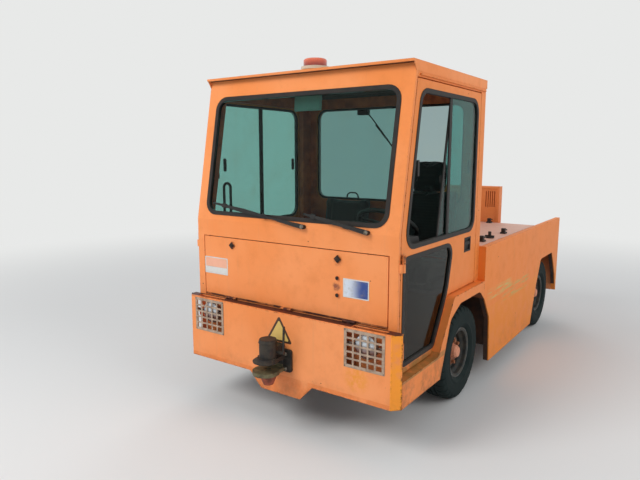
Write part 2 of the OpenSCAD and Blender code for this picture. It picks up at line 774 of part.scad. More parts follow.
// Thickness of the plates that close the ends of the roof's front lip
roof_end_t = 5;
module cab_front() {
    beam_back = cab_front_d + front_t + beam_depth;
    rail_low = roof_bottom_z - 34;
    sheet_top = roof_z - lip_t - fit;
    sheet_x = cab_x - roof_end_t - fit;
    color(orange) from_front() {
        difference() {
            union() {
                across(-cab_x, cab_x) polygon(front_profile(rail_top_z + fit, roof_bottom_z, front_t));
                // the sheet goes on up behind the roof's lip
                across(-sheet_x, sheet_x) polygon([[lean_d(roof_bottom_z - 1), roof_bottom_z - 1],
                    [lean_d(sheet_top), sheet_top], [lean_d(sheet_top, front_t), sheet_top],
                    [lean_d(roof_bottom_z - 1, front_t), roof_bottom_z - 1]]);
                both_sides() across(post_in_x, frame_x)
                    polygon(front_profile(rail_top_z + fit, roof_bottom_z, front_t + post_depth));
                // beams over and under the hatch
                block(-frame_x, frame_x, cab_front_d + 1, beam_back, hatch_top_z + door_gap, mid_beam_top_z);
                block(-frame_x, frame_x, cab_front_d + 1, beam_back, bumper_top_z - 120, bumper_top_z - 5);
                // rail over the windscreen
                across(-frame_x, frame_x) polygon([[lean_d(rail_low, 4), rail_low],
                    [lean_d(roof_bottom_z, 4), roof_bottom_z],
                    [lean_d(roof_bottom_z, front_t + post_depth), roof_bottom_z],
                    [lean_d(rail_low, front_t + post_depth), rail_low]]);
            }
            on_lean() translate([0, 0, -front_t - 1]) linear_extrude(front_t + 2)
                pane(screen_outline, screen_corner, seal_lip);
            block(-hatch_x, hatch_x, cab_front_d - 1, cab_front_d + front_t + 0.5,
                hatch_bottom_z - door_gap, hatch_top_z + door_gap - 1);
        }
        // fixed halves of the door hinges
        both_sides() for (z = hinge_heights) {
            half = hinge_h / 2 - 1;
            translate([hinge_x, hinge_d, z]) cylinder(r = hinge_barrel_r, h = half);
            translate([hinge_x, hinge_d, z]) cylinder(r = hinge_pin_r, h = hinge_h);
            block(cab_x - 0.5, hinge_x, cab_front_d + 3, cab_front_d + front_t, z, z + half);
        }
    }
}
module cab_rear() {
    color(orange) from_front() difference() {
        block(-cab_x, cab_x, cab_back_in_d, cab_rear_d, shelf_z + fit, roof_bottom_z);
        along(cab_back_in_d - 1, cab_rear_d + 1) pane(rear_window_outline, screen_corner, seal_lip);
    }
}
header_h = 80;
rear_post_l = 100;
// The door's top edge closes against a strip of this height
head_strip_h = 30;
module cab_sides() {
    back = cab_back_in_d;
    low = roof_bottom_z - header_h;
    lip = roof_bottom_z - head_strip_h;
    function behind_post(z) = lean_d(z, front_t + post_depth);
    color(orange) from_front() both_sides() {
        // post behind the door, and the strip beside the door's rear edge
        block(post_in_x, frame_x, back - rear_post_l, back, shelf_z + fit, roof_bottom_z);
        block(frame_x - 1, cab_x, door_rear_d + door_gap, back, shelf_z + fit, roof_bottom_z);
        // rail over the door, and the strip over the door's top edge
        across(post_in_x, frame_x) polygon([[behind_post(low), low],
            [behind_post(roof_bottom_z), roof_bottom_z], [back, roof_bottom_z], [back, low]]);
        across(frame_x - 1, cab_x) polygon([[behind_post(lip), lip],
            [behind_post(roof_bottom_z), roof_bottom_z], [back, roof_bottom_z], [back, lip]]);
        // the strip's end over the windscreen post
        across(frame_x + fit, cab_x) polygon([[lean_d(lip, front_t + fit), lip],
            [lean_d(roof_bottom_z, front_t + fit), roof_bottom_z],
            [behind_post(roof_bottom_z) + 1, roof_bottom_z], [behind_post(lip) + 1, lip]]);
    }
}
module cab_roof() {
    lip_z = roof_z - lip_t;
    tip = lean_d(roof_z) - lip_reach;
    over_front = lean_d(lip_z, front_t + fit);
    end_back = over_front + 40;
    back = cab_rear_d + roof_overhang;
    color(orange) from_front() {
        across(-cab_x, cab_x) polygon([[tip, roof_z], [back, roof_z], [back, roof_bottom_z],
            [lean_d(roof_bottom_z, front_t + fit), roof_bottom_z], [over_front, lip_z], [tip + 4, lip_z]]);
        // plates that close the ends of the lip
        both_sides() across(cab_x - roof_end_t, cab_x) polygon([[tip, roof_z], [end_back, roof_z],
            [end_back, roof_bottom_z], [lean_d(roof_bottom_z), roof_bottom_z]]);
    }
}
beacon_foot_h = 20;
beacon_disc_h = 18;
beacon_lens_h = 48;
module beacon_base() {
    color(beacon_cream) from_front() translate([0, beacon_d, roof_z]) {
        cylinder(r = beacon_r - 2, h = beacon_foot_h);
        translate([0, 0, beacon_foot_h]) cylinder(r = beacon_r + 14, h = beacon_disc_h);
    }
}
module beacon_lens() {
    r = 14;
    rim = [for (a = [0:15:90]) [beacon_r - r + r * cos(a), beacon_lens_h - r + r * sin(a)]];
    color(beacon_orange) from_front() translate([0, beacon_d, roof_z + beacon_foot_h + beacon_disc_h])
        rotate_extrude() polygon(concat([[0, 0], [beacon_r, 0]], rim, [[0, beacon_lens_h]]));
}
module cab_seals() {
    color(rubber) from_front() {
        on_lean() translate([0, 0, -front_t]) window_rubber(screen_outline, screen_corner, front_t);
        translate([0, cab_back_in_d, 0]) rotate([90, 0, 0]) mirror([0, 0, 1])
            window_rubber(rear_window_outline, screen_corner, rear_wall_t);
    }
}
// From a window panel's outer face in to the outer face of its pane
pane_in = 7;
module cab_glass() {
    color(glass) from_front() {
        on_lean() translate([0, 0, -pane_in - glass_t]) linear_extrude(glass_t)
            pane(screen_outline, screen_corner, seal_w + fit);
        along(cab_rear_d - pane_in - glass_t, cab_rear_d - pane_in)
            pane(rear_window_outline, screen_corner, seal_w + fit);
    }
}
// Wipers. Each row is how far the pivot is in from the windscreen's left edge, the arm's length,
// the blade's length, and the angle of the parked arm over level.
wiper_table = [[544, 470, 560, 8], [117, 250, 380, 10]];
wiper_pivot_r = 13;
wiper_rise = 6;
module wipers() {
    color(black) from_front() on_lean() for (row = wiper_table) {
        from_edge = row[0];
        arm = row[1];
        blade = row[2];
        angle = row[3];
        translate([cab_x - screen_side - from_edge, wiper_rise, 0]) {
            cylinder(r = wiper_pivot_r, h = 26);
            rotate([0, 0, 180 - angle]) {
                translate([0, 0, 16]) linear_extrude(8)
                    polygon([[0, -9], [60, -7], [arm, -4], [arm, 4], [60, 7], [0, 9]]);
                translate([arm - 12, -5, 6]) cube([14, 10, 14]);
                translate([arm - blade / 2, -5, 5]) cube([blade, 10, 9]);
            }
        }
    }
}

// Doors

hinge_x = cab_x + hinge_barrel_r + door_gap;
hinge_d = cab_front_d + front_t + hinge_barrel_r - 1;
hinge_heights = [sill_z + 105, belt_z - 106];
door_front_d = cab_front_d + front_t + door_gap;
door_rear_d = cab_rear_d - rear_strip_w;
door_top_z = roof_bottom_z - head_strip_h - door_gap;
sill_gap = door_gap + 3;

// Outline of a door, in depth and height
door_outline = [[door_front_d, sill_z + sill_gap], [climb_start_d, sill_z + sill_gap],
    [climb_end_d, shelf_z + sill_gap], [door_rear_d, shelf_z + sill_gap], [door_rear_d, door_top_z],
    [lean_d(door_top_z, front_t + door_gap), door_top_z], [door_front_d, kink_z]];
door_radii = [14, 20, 30, 14, 14, 14, 0];
// Outlines of the rubber round the door's window and of the rubber round the pane below it
window_front_d = door_front_d + front_stile;
window_rear_d = door_rear_d - door_stile;
window_top_z = door_top_z - door_rail;
window_lean = (window_top_z - belt_z) * tan(rake);
window_outline = [[window_front_d, belt_z], [window_rear_d, belt_z], [window_rear_d, window_top_z],
    [window_front_d + window_lean, window_top_z]];
low_pane_front_d = door_front_d + 22;
low_pane_top_z = belt_z - 30;
low_pane_bottom_z = sill_z + 44;
low_pane_outline = [[low_pane_front_d, low_pane_bottom_z], [climb_start_d + 24, low_pane_bottom_z],
    [climb_end_d - 4, shelf_z + 32], [climb_end_d + 74, low_pane_top_z], [low_pane_front_d, low_pane_top_z]];
low_pane_radii = [40, 50, 420, 80, 60];
// Middle of the door's handle, and half its cup's length and height
handle_d = door_rear_d - 150;
handle_z = belt_z - 81;
handle_l = 56;
handle_h = 48;
cup_depth = 16;
// Width of the upright profiles on the edges of the panes
profile_w = 20;

module door_panel() {
    difference() {
        across(door_in_x, cab_x) polygon(rounded(door_outline, door_radii, 4));
        across(door_in_x - 1, cab_x + 1) pane(window_outline, window_corner, seal_lip);
        across(door_in_x - 1, cab_x + 1) pane(low_pane_outline, low_pane_radii, seal_lip);
        block(cab_x - cup_depth, cab_x + 1, handle_d - handle_l, handle_d + handle_l,
            handle_z - handle_h, handle_z + handle_h);
    }
    // moving halves of the hinges
    for (z = hinge_heights) difference() {
        low = z + hinge_h / 2 + 1;
        union() {
            translate([hinge_x, hinge_d, low]) cylinder(r = hinge_barrel_r, h = hinge_h / 2 - 1);
            block(cab_x - 0.5, cab_x + 5, hinge_d + 2, low_pane_front_d - 1, low, z + hinge_h);
            block(cab_x - 0.5, hinge_x - 1, hinge_d + 2, hinge_d + hinge_barrel_r - 1, low, z + hinge_h);
        }
        translate([hinge_x, hinge_d, z]) cylinder(r = hinge_pin_r + fit, h = hinge_h + 1);
    }
}
// Inner outline of the window's rubber
module window_inside() {
    pane(window_outline, window_corner, seal_w + fit);
}
// Leaning strip of the window, from a depth at the belt
module leaning_strip(d, w) {
    h = window_top_z - belt_z;
    polygon([[d, belt_z], [d + w, belt_z],
        [d + w + window_lean, belt_z + h], [d + window_lean, belt_z + h]]);
}
// Depth of the fixed pane's front edge, where its profile stands
fixed_pane_d = window_front_d + fixed_pane_set;
slide_in = 18;
fixed_in = 10;
module door_trim(slide) {
    translate([door_in_x, 0, 0]) rotate([90, 0, 90]) {
        window_rubber(window_outline, window_corner, door_t);
        window_rubber(low_pane_outline, low_pane_radii, door_t);
    }
    // profiles on the front edges of the sliding and of the fixed pane, and the latch on the first
    slide_d = window_front_d + seal_w + slide;
    across(cab_x - slide_in - 2, cab_x - slide_in + glass_t + 1) intersection() {
        window_inside();
        leaning_strip(slide_d, profile_w);
    }
    across(cab_x - fixed_in, cab_x - fixed_in + glass_t + 2) intersection() {
        window_inside();
        translate([fixed_pane_d, belt_z]) square([divider_w, window_top_z - belt_z]);
    }
    latch_z = belt_z + (window_top_z - belt_z) * 0.42;
    latch_d = slide_d + (latch_z - belt_z) * tan(rake);
    block(cab_x - slide_in - 18, cab_x - slide_in - 1, latch_d + 3, latch_d + profile_w + 8,
        latch_z - 20, latch_z + 20);
    // cup and bar of the handle
    difference() {
        block(cab_x - cup_depth, cab_x + 2, handle_d - handle_l + fit, handle_d + handle_l - fit,
            handle_z - handle_h + fit, handle_z + handle_h - fit);
        block(cab_x - 10, cab_x + 3, handle_d - handle_l + 11, handle_d + handle_l - 11,
            handle_z - handle_h + 11, handle_z + handle_h - 11);
    }
    block(cab_x - 11, cab_x - 1, handle_d - handle_l + 10, handle_d + handle_l - 10,
        handle_z - 4, handle_z + 18);
}
// Panes of a door, with the front one slid back by slide
module door_glass(slide) {
    pane_front_d = window_front_d + seal_w + slide + profile_w + fit;
    pane_rear_d = fixed_pane_d + divider_w + slide - 4;
    across(cab_x - fixed_in, cab_x - fixed_in + glass_t) intersection() {
        window_inside();
        translate([fixed_pane_d + divider_w + fit, belt_z])
            square([window_rear_d - fixed_pane_d, window_top_z - belt_z]);
    }
    across(cab_x - slide_in, cab_x - slide_in + glass_t) intersection() {
        window_inside();
        polygon([[pane_front_d, belt_z], [pane_rear_d, belt_z], [pane_rear_d, window_top_z],
            [pane_front_d + window_lean, window_top_z]]);
    }
    across(cab_x - 12, cab_x - 12 + glass_t) pane(low_pane_outline, low_pane_radii, seal_w + fit);
}
module left_door() {
    color(orange) from_front() door_panel();
}
module right_door() {
    color(orange) mirror([1, 0, 0]) from_front() door_panel();
}
module left_door_trim() {
    color(rubber) from_front() door_trim(pane_slide);
}
module right_door_trim() {
    color(rubber) mirror([1, 0, 0]) from_front() door_trim(0);
}
module left_door_glass() {
    color(glass) from_front() door_glass(pane_slide);
}
module right_door_glass() {
    color(glass) mirror([1, 0, 0]) from_front() door_glass(0);
}

// Front hatch

// The locks' places, the right one over the knobs
lock_places = [255 - hatch_x, hatch_x - 325];
lock_z = hatch_top_z - 45;
lock_w = 34;
knob_x = hatch_x - 325;
knob_r = 11;
module front_hatch() {
    color(orange) from_front() {
        difference() {
            union() {
                block(-hatch_x + door_gap, hatch_x - door_gap, cab_front_d, cab_front_d + hatch_t,
                    hatch_bottom_z, hatch_top_z);
                for (x = [-hatch_hinge_x, 0, hatch_hinge_x], s = [-1, 1]) {
                    x0 = x + s * (hatch_knuckle_l + 1) - hatch_knuckle_l / 2;
                    cross_bar(x0, x0 + hatch_knuckle_l, hatch_axis_d, hatch_axis_z, hatch_barrel_r);
                    block(x0, x0 + hatch_knuckle_l, hatch_axis_d, cab_front_d + 1, hatch_axis_z + 2,
                        hatch_axis_z + hatch_barrel_r);
                }
            }
            for (x = [-hatch_hinge_x, 0, hatch_hinge_x])
                cross_bar(x - 60, x + 60, hatch_axis_d, hatch_axis_z, hatch_pin_r + fit);
            // square sockets of the two locks
            for (x = lock_places) translate([x, cab_front_d, lock_z]) rotate([90, 45, 0])
                cube([lock_w, lock_w, 16], center = true);
        }
        // turn knobs
        for (drop = [154, 253])
            long_bar(knob_x, cab_front_d - 8, cab_front_d + 1, hatch_top_z - drop, knob_r);
    }
}

// Inside the cab

seat_x = post_in_x - seat_gap - seat_w / 2;
seat_top_z = shelf_z + seat_h;
seat_back_d = cab_rear_d - seat_set;
wheel_hub_d = bulkhead_d + steering_set;
wheel_hub_z = kink_z - steering_drop;
column_r = 26;
hood_w = 260;
grab_w = 60;
grab_h = 250;
grab_r = 9;

module dashboard() {
    front = cab_front_d + front_t + beam_depth;
    low = hatch_top_z + door_gap + 2;
    back = bulkhead_d + 190;
    color(black) from_front() {
        difference() {
            union() {
                across(-frame_x, frame_x) polygon([[front, low], [front, mid_beam_top_z],
                    [back - 45, mid_beam_top_z - 14], [back, mid_beam_top_z - 99],
                    [back - 20, dash_bottom_z], [bulkhead_d, dash_bottom_z], [bulkhead_d, low]]);
                // instrument hood before the driver
                across(seat_x - hood_w / 2, seat_x + hood_w / 2) polygon([
                    [back - 130, mid_beam_top_z - 30], [back - 115, mid_beam_top_z + 42],
                    [back - 70, mid_beam_top_z + 46], [back - 22, mid_beam_top_z - 79]]);
            }
            both_sides() block(post_in_x - fit, frame_x + 1, 0, front_post_d + fit,
                dash_bottom_z - 50, kink_z + 200);
            on_column() translate([0, 0, -column_l]) cylinder(r = column_r + fit, h = column_l);
        }
        // grab handle at the far post
        handle_x = post_in_x - 32;
        handle_back = front_post_d + 64;
        translate([-handle_x + grab_w / 2, handle_back, mid_beam_top_z - 30]) {
            for (s = [-1, 1]) translate([s * grab_w / 2, 0, 0]) cylinder(r = grab_r, h = grab_h);
            translate([0, 0, grab_h]) rotate([90, 0, 0]) rotate_extrude(angle = 180)
                translate([grab_w / 2, 0]) circle(r = grab_r);
        }
    }
}
column_l = (wheel_hub_d - bulkhead_d - bulkhead_t) / sin(column_lean);
module on_column() {
    translate([seat_x, wheel_hub_d, wheel_hub_z]) rotate([-column_lean, 0, 0]) children();
}
// Pedals, by their distance from the middle of the driver's seat
pedal_places = [-110, -10, 110];
module driver_controls() {
    wall = bulkhead_d + bulkhead_t;
    color(black) from_front() {
        difference() {
            on_column() translate([0, 0, -column_l - 20]) cylinder(r = column_r, h = column_l - 40);
            block(seat_x - 100, seat_x + 100, 0, wall, 0, kink_z + 200);
        }
        on_column() translate([0, 0, -64]) cylinder(r = 9, h = 50);
        // pedals on their arms
        for (place = pedal_places) translate([seat_x + place, wall, floor_z]) {
            block(-8, 8, 0, 8, 200, 280);
            across(-6, 6) polygon([[5, 270], [25, 270], [93, 100], [75, 92]]);
            across(-32, 32) polygon([[71, 60], [93, 136], [101, 134], [79, 56]]);
        }
    }
}
steering_rim_r = 14;
module steering_wheel() {
    color(black) from_front() on_column() {
        rotate_extrude() translate([steering_r - steering_rim_r, 0]) circle(r = steering_rim_r);
        difference() {
            translate([0, 0, -38]) cylinder(r = 34, h = 46);
            translate([0, 0, -39]) cylinder(r = 9 + fit, h = 26);
        }
        for (a = [90, 210, 330]) rotate([0, 0, a]) translate([28, -12, -6]) cube([steering_r - 50, 24, 10]);
    }
}
cushion_t = 96;
cushion_l = 510;
headrest_post_r = 6;
headrest_post_x = 55;
headrest_rise = 497;
module at_headrest_posts() {
    for (x = [-headrest_post_x, headrest_post_x])
        translate([seat_x + x, seat_back_d - 2, seat_top_z + headrest_rise]) children();
}
// Middles and widths of the driver's and of the passenger's seat
seat_rows = [[seat_x, seat_w], [-passenger_x, passenger_w]];
module seat_base() {
    pan_z = seat_top_z - cushion_t;
    front = seat_back_d - cushion_l;
    color(dark_steel) from_front() {
        for (row = seat_rows) {
            x = row[0];
            foot_x = row[1] / 2 - 45;
            pan_x = row[1] / 2 - 20;
            block(x - foot_x, x + foot_x, front + 150, seat_back_d - 50, shelf_z, pan_z - 12);
            block(x - pan_x, x + pan_x, front + 110, seat_back_d - 30, pan_z - 14, pan_z);
        }
        // posts of the headrest
        translate([0, 0, -57]) at_headrest_posts() cylinder(r = headrest_post_r, h = 60);
    }
}
module seat_cushions() {
    top = seat_top_z;
    back = seat_back_d;
    front = back - cushion_l;
    cushion = [[front, top - cushion_t], [back - 10, top - cushion_t], [back - 20, top - 26],
        [back - 160, top - 20], [front + 50, top], [front - 10, top - 30]];
    foot = [for (d = [back - 110, back - 30]) on_line(cushion[3], cushion[2], d) + [0, fit]];
    head_z = top + headrest_rise;
    low_back_z = top + passenger_back_h;
    back_radii = [24, 14, 24, 34];
    color(black) from_front() {
        for (row = seat_rows) across(row[0] - row[1] / 2, row[0] + row[1] / 2)
            polygon(rounded(cushion, [18, 10, 10, 60, 30, 16]));
        difference() {
            across(seat_x - seat_w / 2 + 10, seat_x + seat_w / 2 - 10) polygon(rounded(
                [foot[0], foot[1], [back + 50, head_z - 17], [back - 20, head_z - 12]], back_radii));
            translate([0, 0, -58]) at_headrest_posts() cylinder(r = headrest_post_r + fit, h = 80);
        }
        difference() {
            across(seat_x - 125, seat_x + 125) polygon(rounded([[back - 38, head_z], [back + 45, head_z],
                [back + 55, head_z + 163], [back - 25, head_z + 175]], 24));
            translate([0, 0, -40]) at_headrest_posts() cylinder(r = headrest_post_r + fit, h = 43 + fit);
        }
        // the passenger's backrest, which has no headrest
        across(-passenger_x - passenger_w / 2, passenger_w / 2 - passenger_x) polygon(rounded(
            [foot[0], foot[1], [back + 36, low_back_z - 5], [back - 34, low_back_z]], back_radii));
    }
}
mirror_x = -20;
mirror_top_z = roof_bottom_z - 62;
module interior_mirror() {
    d = lean_d(roof_bottom_z - 34, front_t + post_depth) + 30;
    z = mirror_top_z;
    color(black) from_front() {
        translate([mirror_x, d, z - 24]) cylinder(r = 7, h = roof_bottom_z - z + 24);
        across(mirror_x - 95, mirror_x + 95)
            polygon(rounded([[d - 20, z - 106], [d + 4, z - 110], [d + 14, z - 4], [d - 10, z]], 9, 4));
    }
}
engine_d = cab_rear_d + engine_gap;
gearbox_d = engine_d + engine_l;
shaft_d = gearbox_d + gearbox_l;
mount_w = 60;
module engine_block() {
    x = rail_in_x - 30;
    color(steel * 0.6) from_front() {
        block(-x, x, engine_d, gearbox_d, rail_bottom_z + 20, deck_z - 87);
        block(-140, 140, gearbox_d - 1, shaft_d, axle_z - 58, axle_z + 280);
        long_bar(0, shaft_d - 1, pinion_d - fit, axle_z, 34);
        // mounts on the rails
        both_sides() for (d = [engine_d + 80, gearbox_d - 80 - mount_w])
            block(x - 1, rail_in_x - fit, d, d + mount_w, rail_bottom_z + 40, rail_top_z - 10);
    }
}

// Axles and wheels

pinion_d = rear_axle_d - 240;
boss_r = kingpin_r + 16;
boss_h = 80;
knuckle_gap = 5;
yoke_t = 24;
// From the tyre's middle in to the outer face of the brake's backing plate
plate_in = 56;
plate_x = tyre_x - plate_in;
plate_t = 10;
spindle_l = 118;
rod_pin_r = 8;
arm_t = 18;
rod_eye_r = 18;
rod_eye_h = 20;
rod_r = 9;
beam_h = 60;
beam_z = axle_z - 85;
leaf_t = 9;
leaf_w = 56;
spring_half_l = 330;
spring_z = beam_z + beam_h;

module front_axle() {
    end_x = rail_out_x + 60;
    color(dark_steel) from_front() translate([0, front_axle_d, 0]) {
        block(-end_x, end_x, -35, 35, beam_z, beam_z + beam_h);
        both_sides() difference() {
            union() {
                along(-30, 30) polygon([[end_x - 1, beam_z], [end_x - 1, beam_z + beam_h],
                    [kingpin_x, axle_z + 32], [kingpin_x, axle_z - 32]]);
                translate([kingpin_x, 0, axle_z - boss_h / 2]) cylinder(r = boss_r, h = boss_h);
            }
            translate([kingpin_x, 0, 0]) cylinder(r = kingpin_r + fit, h = 1000);
        }
    }
}
module front_springs() {
    x = rail_x - leaf_w / 2;
    pack_z = spring_z + leaf_count * leaf_t;
    step_l = 180 / (leaf_count - 0.999);
    color(dark_steel) from_front() translate([0, front_axle_d, 0]) both_sides() {
        for (i = [0:leaf_count - 1]) block(x, x + leaf_w, i * step_l - spring_half_l,
            spring_half_l - i * step_l, spring_z + i * leaf_t, spring_z + (i + 1) * leaf_t + 0.2);
        block(x + 2, x + leaf_w - 2, -45, 45, pack_z, pack_z + 6);
        for (s = [-spring_half_l, spring_half_l]) {
            cross_bar(x, x + leaf_w, s, spring_z + 12, 16);
            block(x, x + leaf_w, s - 14, s + 14, spring_z + 16, rail_bottom_z);
        }
    }
}
module knuckle() {
    half = boss_h / 2;
    yoke_z = half + knuckle_gap + yoke_t / 2;
    yoke_r = boss_r - 4;
    low = axle_z - yoke_z - yoke_t / 2;
    translate([0, front_axle_d, 0]) {
        translate([kingpin_x, 0, low]) cylinder(r = kingpin_r, h = 2 * yoke_z + yoke_t);
        for (s = [-1, 1]) translate([0, 0, axle_z + s * yoke_z - yoke_t / 2]) {
            translate([kingpin_x, 0, 0]) cylinder(r = yoke_r, h = yoke_t);
            block(kingpin_x, plate_x, -yoke_r, yoke_r, 0, yoke_t);
        }
        // backing plate and spindle
        cross_bar(plate_x - plate_t, plate_x, 0, axle_z, drum_r - 8);
        cross_bar(plate_x - 1, plate_x + spindle_l - 1, 0, axle_z, spindle_r);
        // steering arm with the tie rod's pin
        translate([0, 0, low]) linear_extrude(arm_t) polygon([[kingpin_x - 20, 0], [kingpin_x + 16, 0],
            [kingpin_x + 12, arm_l + 12], [kingpin_x - 15, arm_l + 12]]);
        translate([kingpin_x, arm_l, low]) cylinder(r = rod_pin_r, h = arm_t + rod_eye_h + 3);
    }
}
module left_knuckle() {
    color(dark_steel) from_front() knuckle();
}
module right_knuckle() {
    color(dark_steel) mirror([1, 0, 0]) from_front() knuckle();
}
module tie_rod() {
    z = axle_z - boss_h / 2 - knuckle_gap - yoke_t + arm_t + 1;
    color(dark_steel) from_front() translate([0, front_axle_d + arm_l, z]) {
        both_sides() difference() {
            translate([kingpin_x, 0, 0]) cylinder(r = rod_eye_r, h = rod_eye_h);
            translate([kingpin_x, 0, -1]) cylinder(r = rod_pin_r + fit, h = rod_eye_h + 2);
        }
        cross_bar(-kingpin_x + 14, kingpin_x - 14, 0, rod_eye_h / 2, rod_r);
    }
}
module rear_axle() {
    color(dark_steel) from_front() translate([0, rear_axle_d, axle_z]) {
        cross_bar(-plate_x + 1, plate_x - 1, 0, 0, axle_tube_r);
        both_sides() {
            cross_bar(plate_x - plate_t, plate_x, 0, 0, drum_r - 8);
            cross_bar(plate_x - 1, plate_x + spindle_l - 1, 0, 0, spindle_r);
            block(rail_x - 28, rail_x + 28, -60, 60, 0, axle_tube_r);
        }
        // housing of the differential, with its pinion's neck ahead and its cover behind
        cross_bar(-60, 60, 0, 0, 125);
        long_bar(0, 0, 150, 0, 95);
        long_bar(0, pinion_d - rear_axle_d, 0, 0, axle_tube_r + 2);
    }
}

// Rim section, in distance out from the tyre's middle and in radius
rim_half = tyre_w / 2 - 27;
rim_lip = 6;
rim_t = 6;
bead_r = rim_r - 17;
well_r = rim_r - 32;
well_half = 25;
module rim_section() {
    polygon([[rim_r, -rim_half - rim_lip], [rim_r, -rim_half], [bead_r, 2 - rim_half],
        [bead_r, 24 - rim_half], [well_r, -well_half], [well_r, well_half],
        [bead_r, rim_half - 24], [bead_r, rim_half - 2],
        [rim_r, rim_half], [rim_r, rim_half + rim_lip], [rim_r - rim_t, rim_half + rim_lip],
        [bead_r - rim_t, rim_half + 2], [bead_r - rim_t, rim_half - 22], [well_r - rim_t, well_half + 3],
        [well_r - rim_t, -well_half - 3], [bead_r - rim_t, 22 - rim_half], [bead_r - rim_t, -rim_half - 2],
        [rim_r - rim_t, -rim_half - rim_lip]]);
}
module turned() {
    rotate([0, 90, 0]) rotate_extrude($fn = 96) children();
}
// The wheel's disc stands this far out from the tyre's middle
disc_out = 16;
hub_r = 48;
hub_l = 56;
module wheel() {
    face = disc_out + 12;
    bore = spindle_r + fit;
    nut_in = nut_circle_r + 10;
    difference() {
        union() {
            turned() rim_section();
            // disc with its raised ring of nuts
            turned() polygon([[well_r - 5, -2], [well_r - 5, 8], [well_r - 34, disc_out + 8],
                [nut_in + 8, disc_out + 6], [nut_in, face], [bore, face], [bore, disc_out],
                [nut_in + 2, disc_out], [nut_in + 8, disc_out - 4], [well_r - 36, disc_out - 3]]);
            // hub and brake drum
            turned() polygon([[bore, -48], [spindle_r + 16, -48], [spindle_r + 16, -18], [drum_r - 7, -18],
                [drum_r - 7, -50], [drum_r, -50], [drum_r, -12], [spindle_r + 20, -8],
                [spindle_r + 20, disc_out + 1], [bore, disc_out + 1]]);
            // hub cap
            turned() polygon([[0, disc_out + hub_l - 6], [bore, disc_out + hub_l - 6], [bore, face - 1],
                [hub_r, face - 1], [hub_r - 4, disc_out + 40], [hub_r - 16, disc_out + 54],
                [0, disc_out + hub_l]]);
            for (i = [0:nut_count - 1]) rotate([i * 360 / nut_count, 0, 0])
                translate([face - 1, 0, nut_circle_r]) rotate([0, 90, 0]) cylinder(r = 13, h = 20, $fn = 6);
        }
        // hand holes of the disc
        for (i = [0:nut_count - 1]) rotate([(i + 0.5) * 360 / nut_count, 0, 0])
            translate([-30, 0, well_r - 28]) rotate([0, 90, 0]) cylinder(r = 10, h = 80, $fn = 24);
    }
}
module tyre() {
    h = tyre_w / 2;
    r = wheel_r;
    outer = rounded([[rim_r + 2, -rim_half - 4], [rim_r + 22, 8 - h], [r - 75, -h], [r - 24, 6 - h],
        [r - 4, 18 - h], [r, 40 - h], [r, h - 40], [r - 4, h - 18], [r - 24, h - 6], [r - 75, h],
        [rim_r + 22, h - 8], [rim_r + 2, rim_half + 4]], [0, 14, 40, 14, 8, 8, 8, 8, 14, 40, 14, 0], 3);
    edge = rim_half - fit - 0.4;
    seat = rim_half - 2 - fit;
    turned() polygon(concat(outer, [[rim_r + fit, edge], [bead_r + fit, seat], [bead_r + fit, rim_half - 24],
        [well_r + fit, well_half - fit], [well_r + fit, fit - well_half], [bead_r + fit, 24 - rim_half],
        [bead_r + fit, -seat], [rim_r + fit, -edge]]));
}
module at_wheel(side, axle_d) {
    from_front() left_if(side > 0) translate([tyre_x, axle_d, axle_z]) children();
}
module front_left_tyre() {
    color(rubber) at_wheel(1, front_axle_d) tyre();
}
module front_right_tyre() {
    color(rubber) at_wheel(-1, front_axle_d) tyre();
}
module rear_left_tyre() {
    color(rubber) at_wheel(1, rear_axle_d) tyre();
}
module rear_right_tyre() {
    color(rubber) at_wheel(-1, rear_axle_d) tyre();
}
module front_left_wheel() {
    color(orange) at_wheel(1, front_axle_d) wheel();
}
module front_right_wheel() {
    color(orange) at_wheel(-1, front_axle_d) wheel();
}
module rear_left_wheel() {
    color(orange) at_wheel(1, rear_axle_d) wheel();
}
module rear_right_wheel() {
    color(orange) at_wheel(-1, rear_axle_d) wheel();
}

frame_rails();
front_bumper();
lamp_grilles();
headlamps();
tow_hitches();
front_fenders();
rear_sides();
cab_floor();
cab_front();
cab_rear();
cab_sides();
cab_roof();
beacon_base();
beacon_lens();
cab_glass();
cab_seals();
wipers();
dashboard();
driver_controls();
steering_wheel();
seat_base();
seat_cushions();
interior_mirror();
engine_block();
deck_lid();
deck_latches();
radiator_housing();
rear_bed();
rear_lamps();
front_axle();
front_springs();
rear_axle();
left_knuckle();
right_knuckle();
tie_rod();
front_left_tyre();
front_right_tyre();
rear_left_tyre();
rear_right_tyre();
front_left_wheel();
front_right_wheel();
rear_left_wheel();
rear_right_wheel();
left_door();
left_door_glass();
left_door_trim();
right_door();
right_door_glass();
right_door_trim();
front_hatch();
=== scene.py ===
"""Airport baggage tug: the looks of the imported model, in metres.

+Z is up and the tug faces -Y. Depths are counted backwards from the bumper's face, as in the part's
source, and at_depth turns one into a Y."""
import math

import bmesh
import bpy
from mathutils import Matrix, Vector


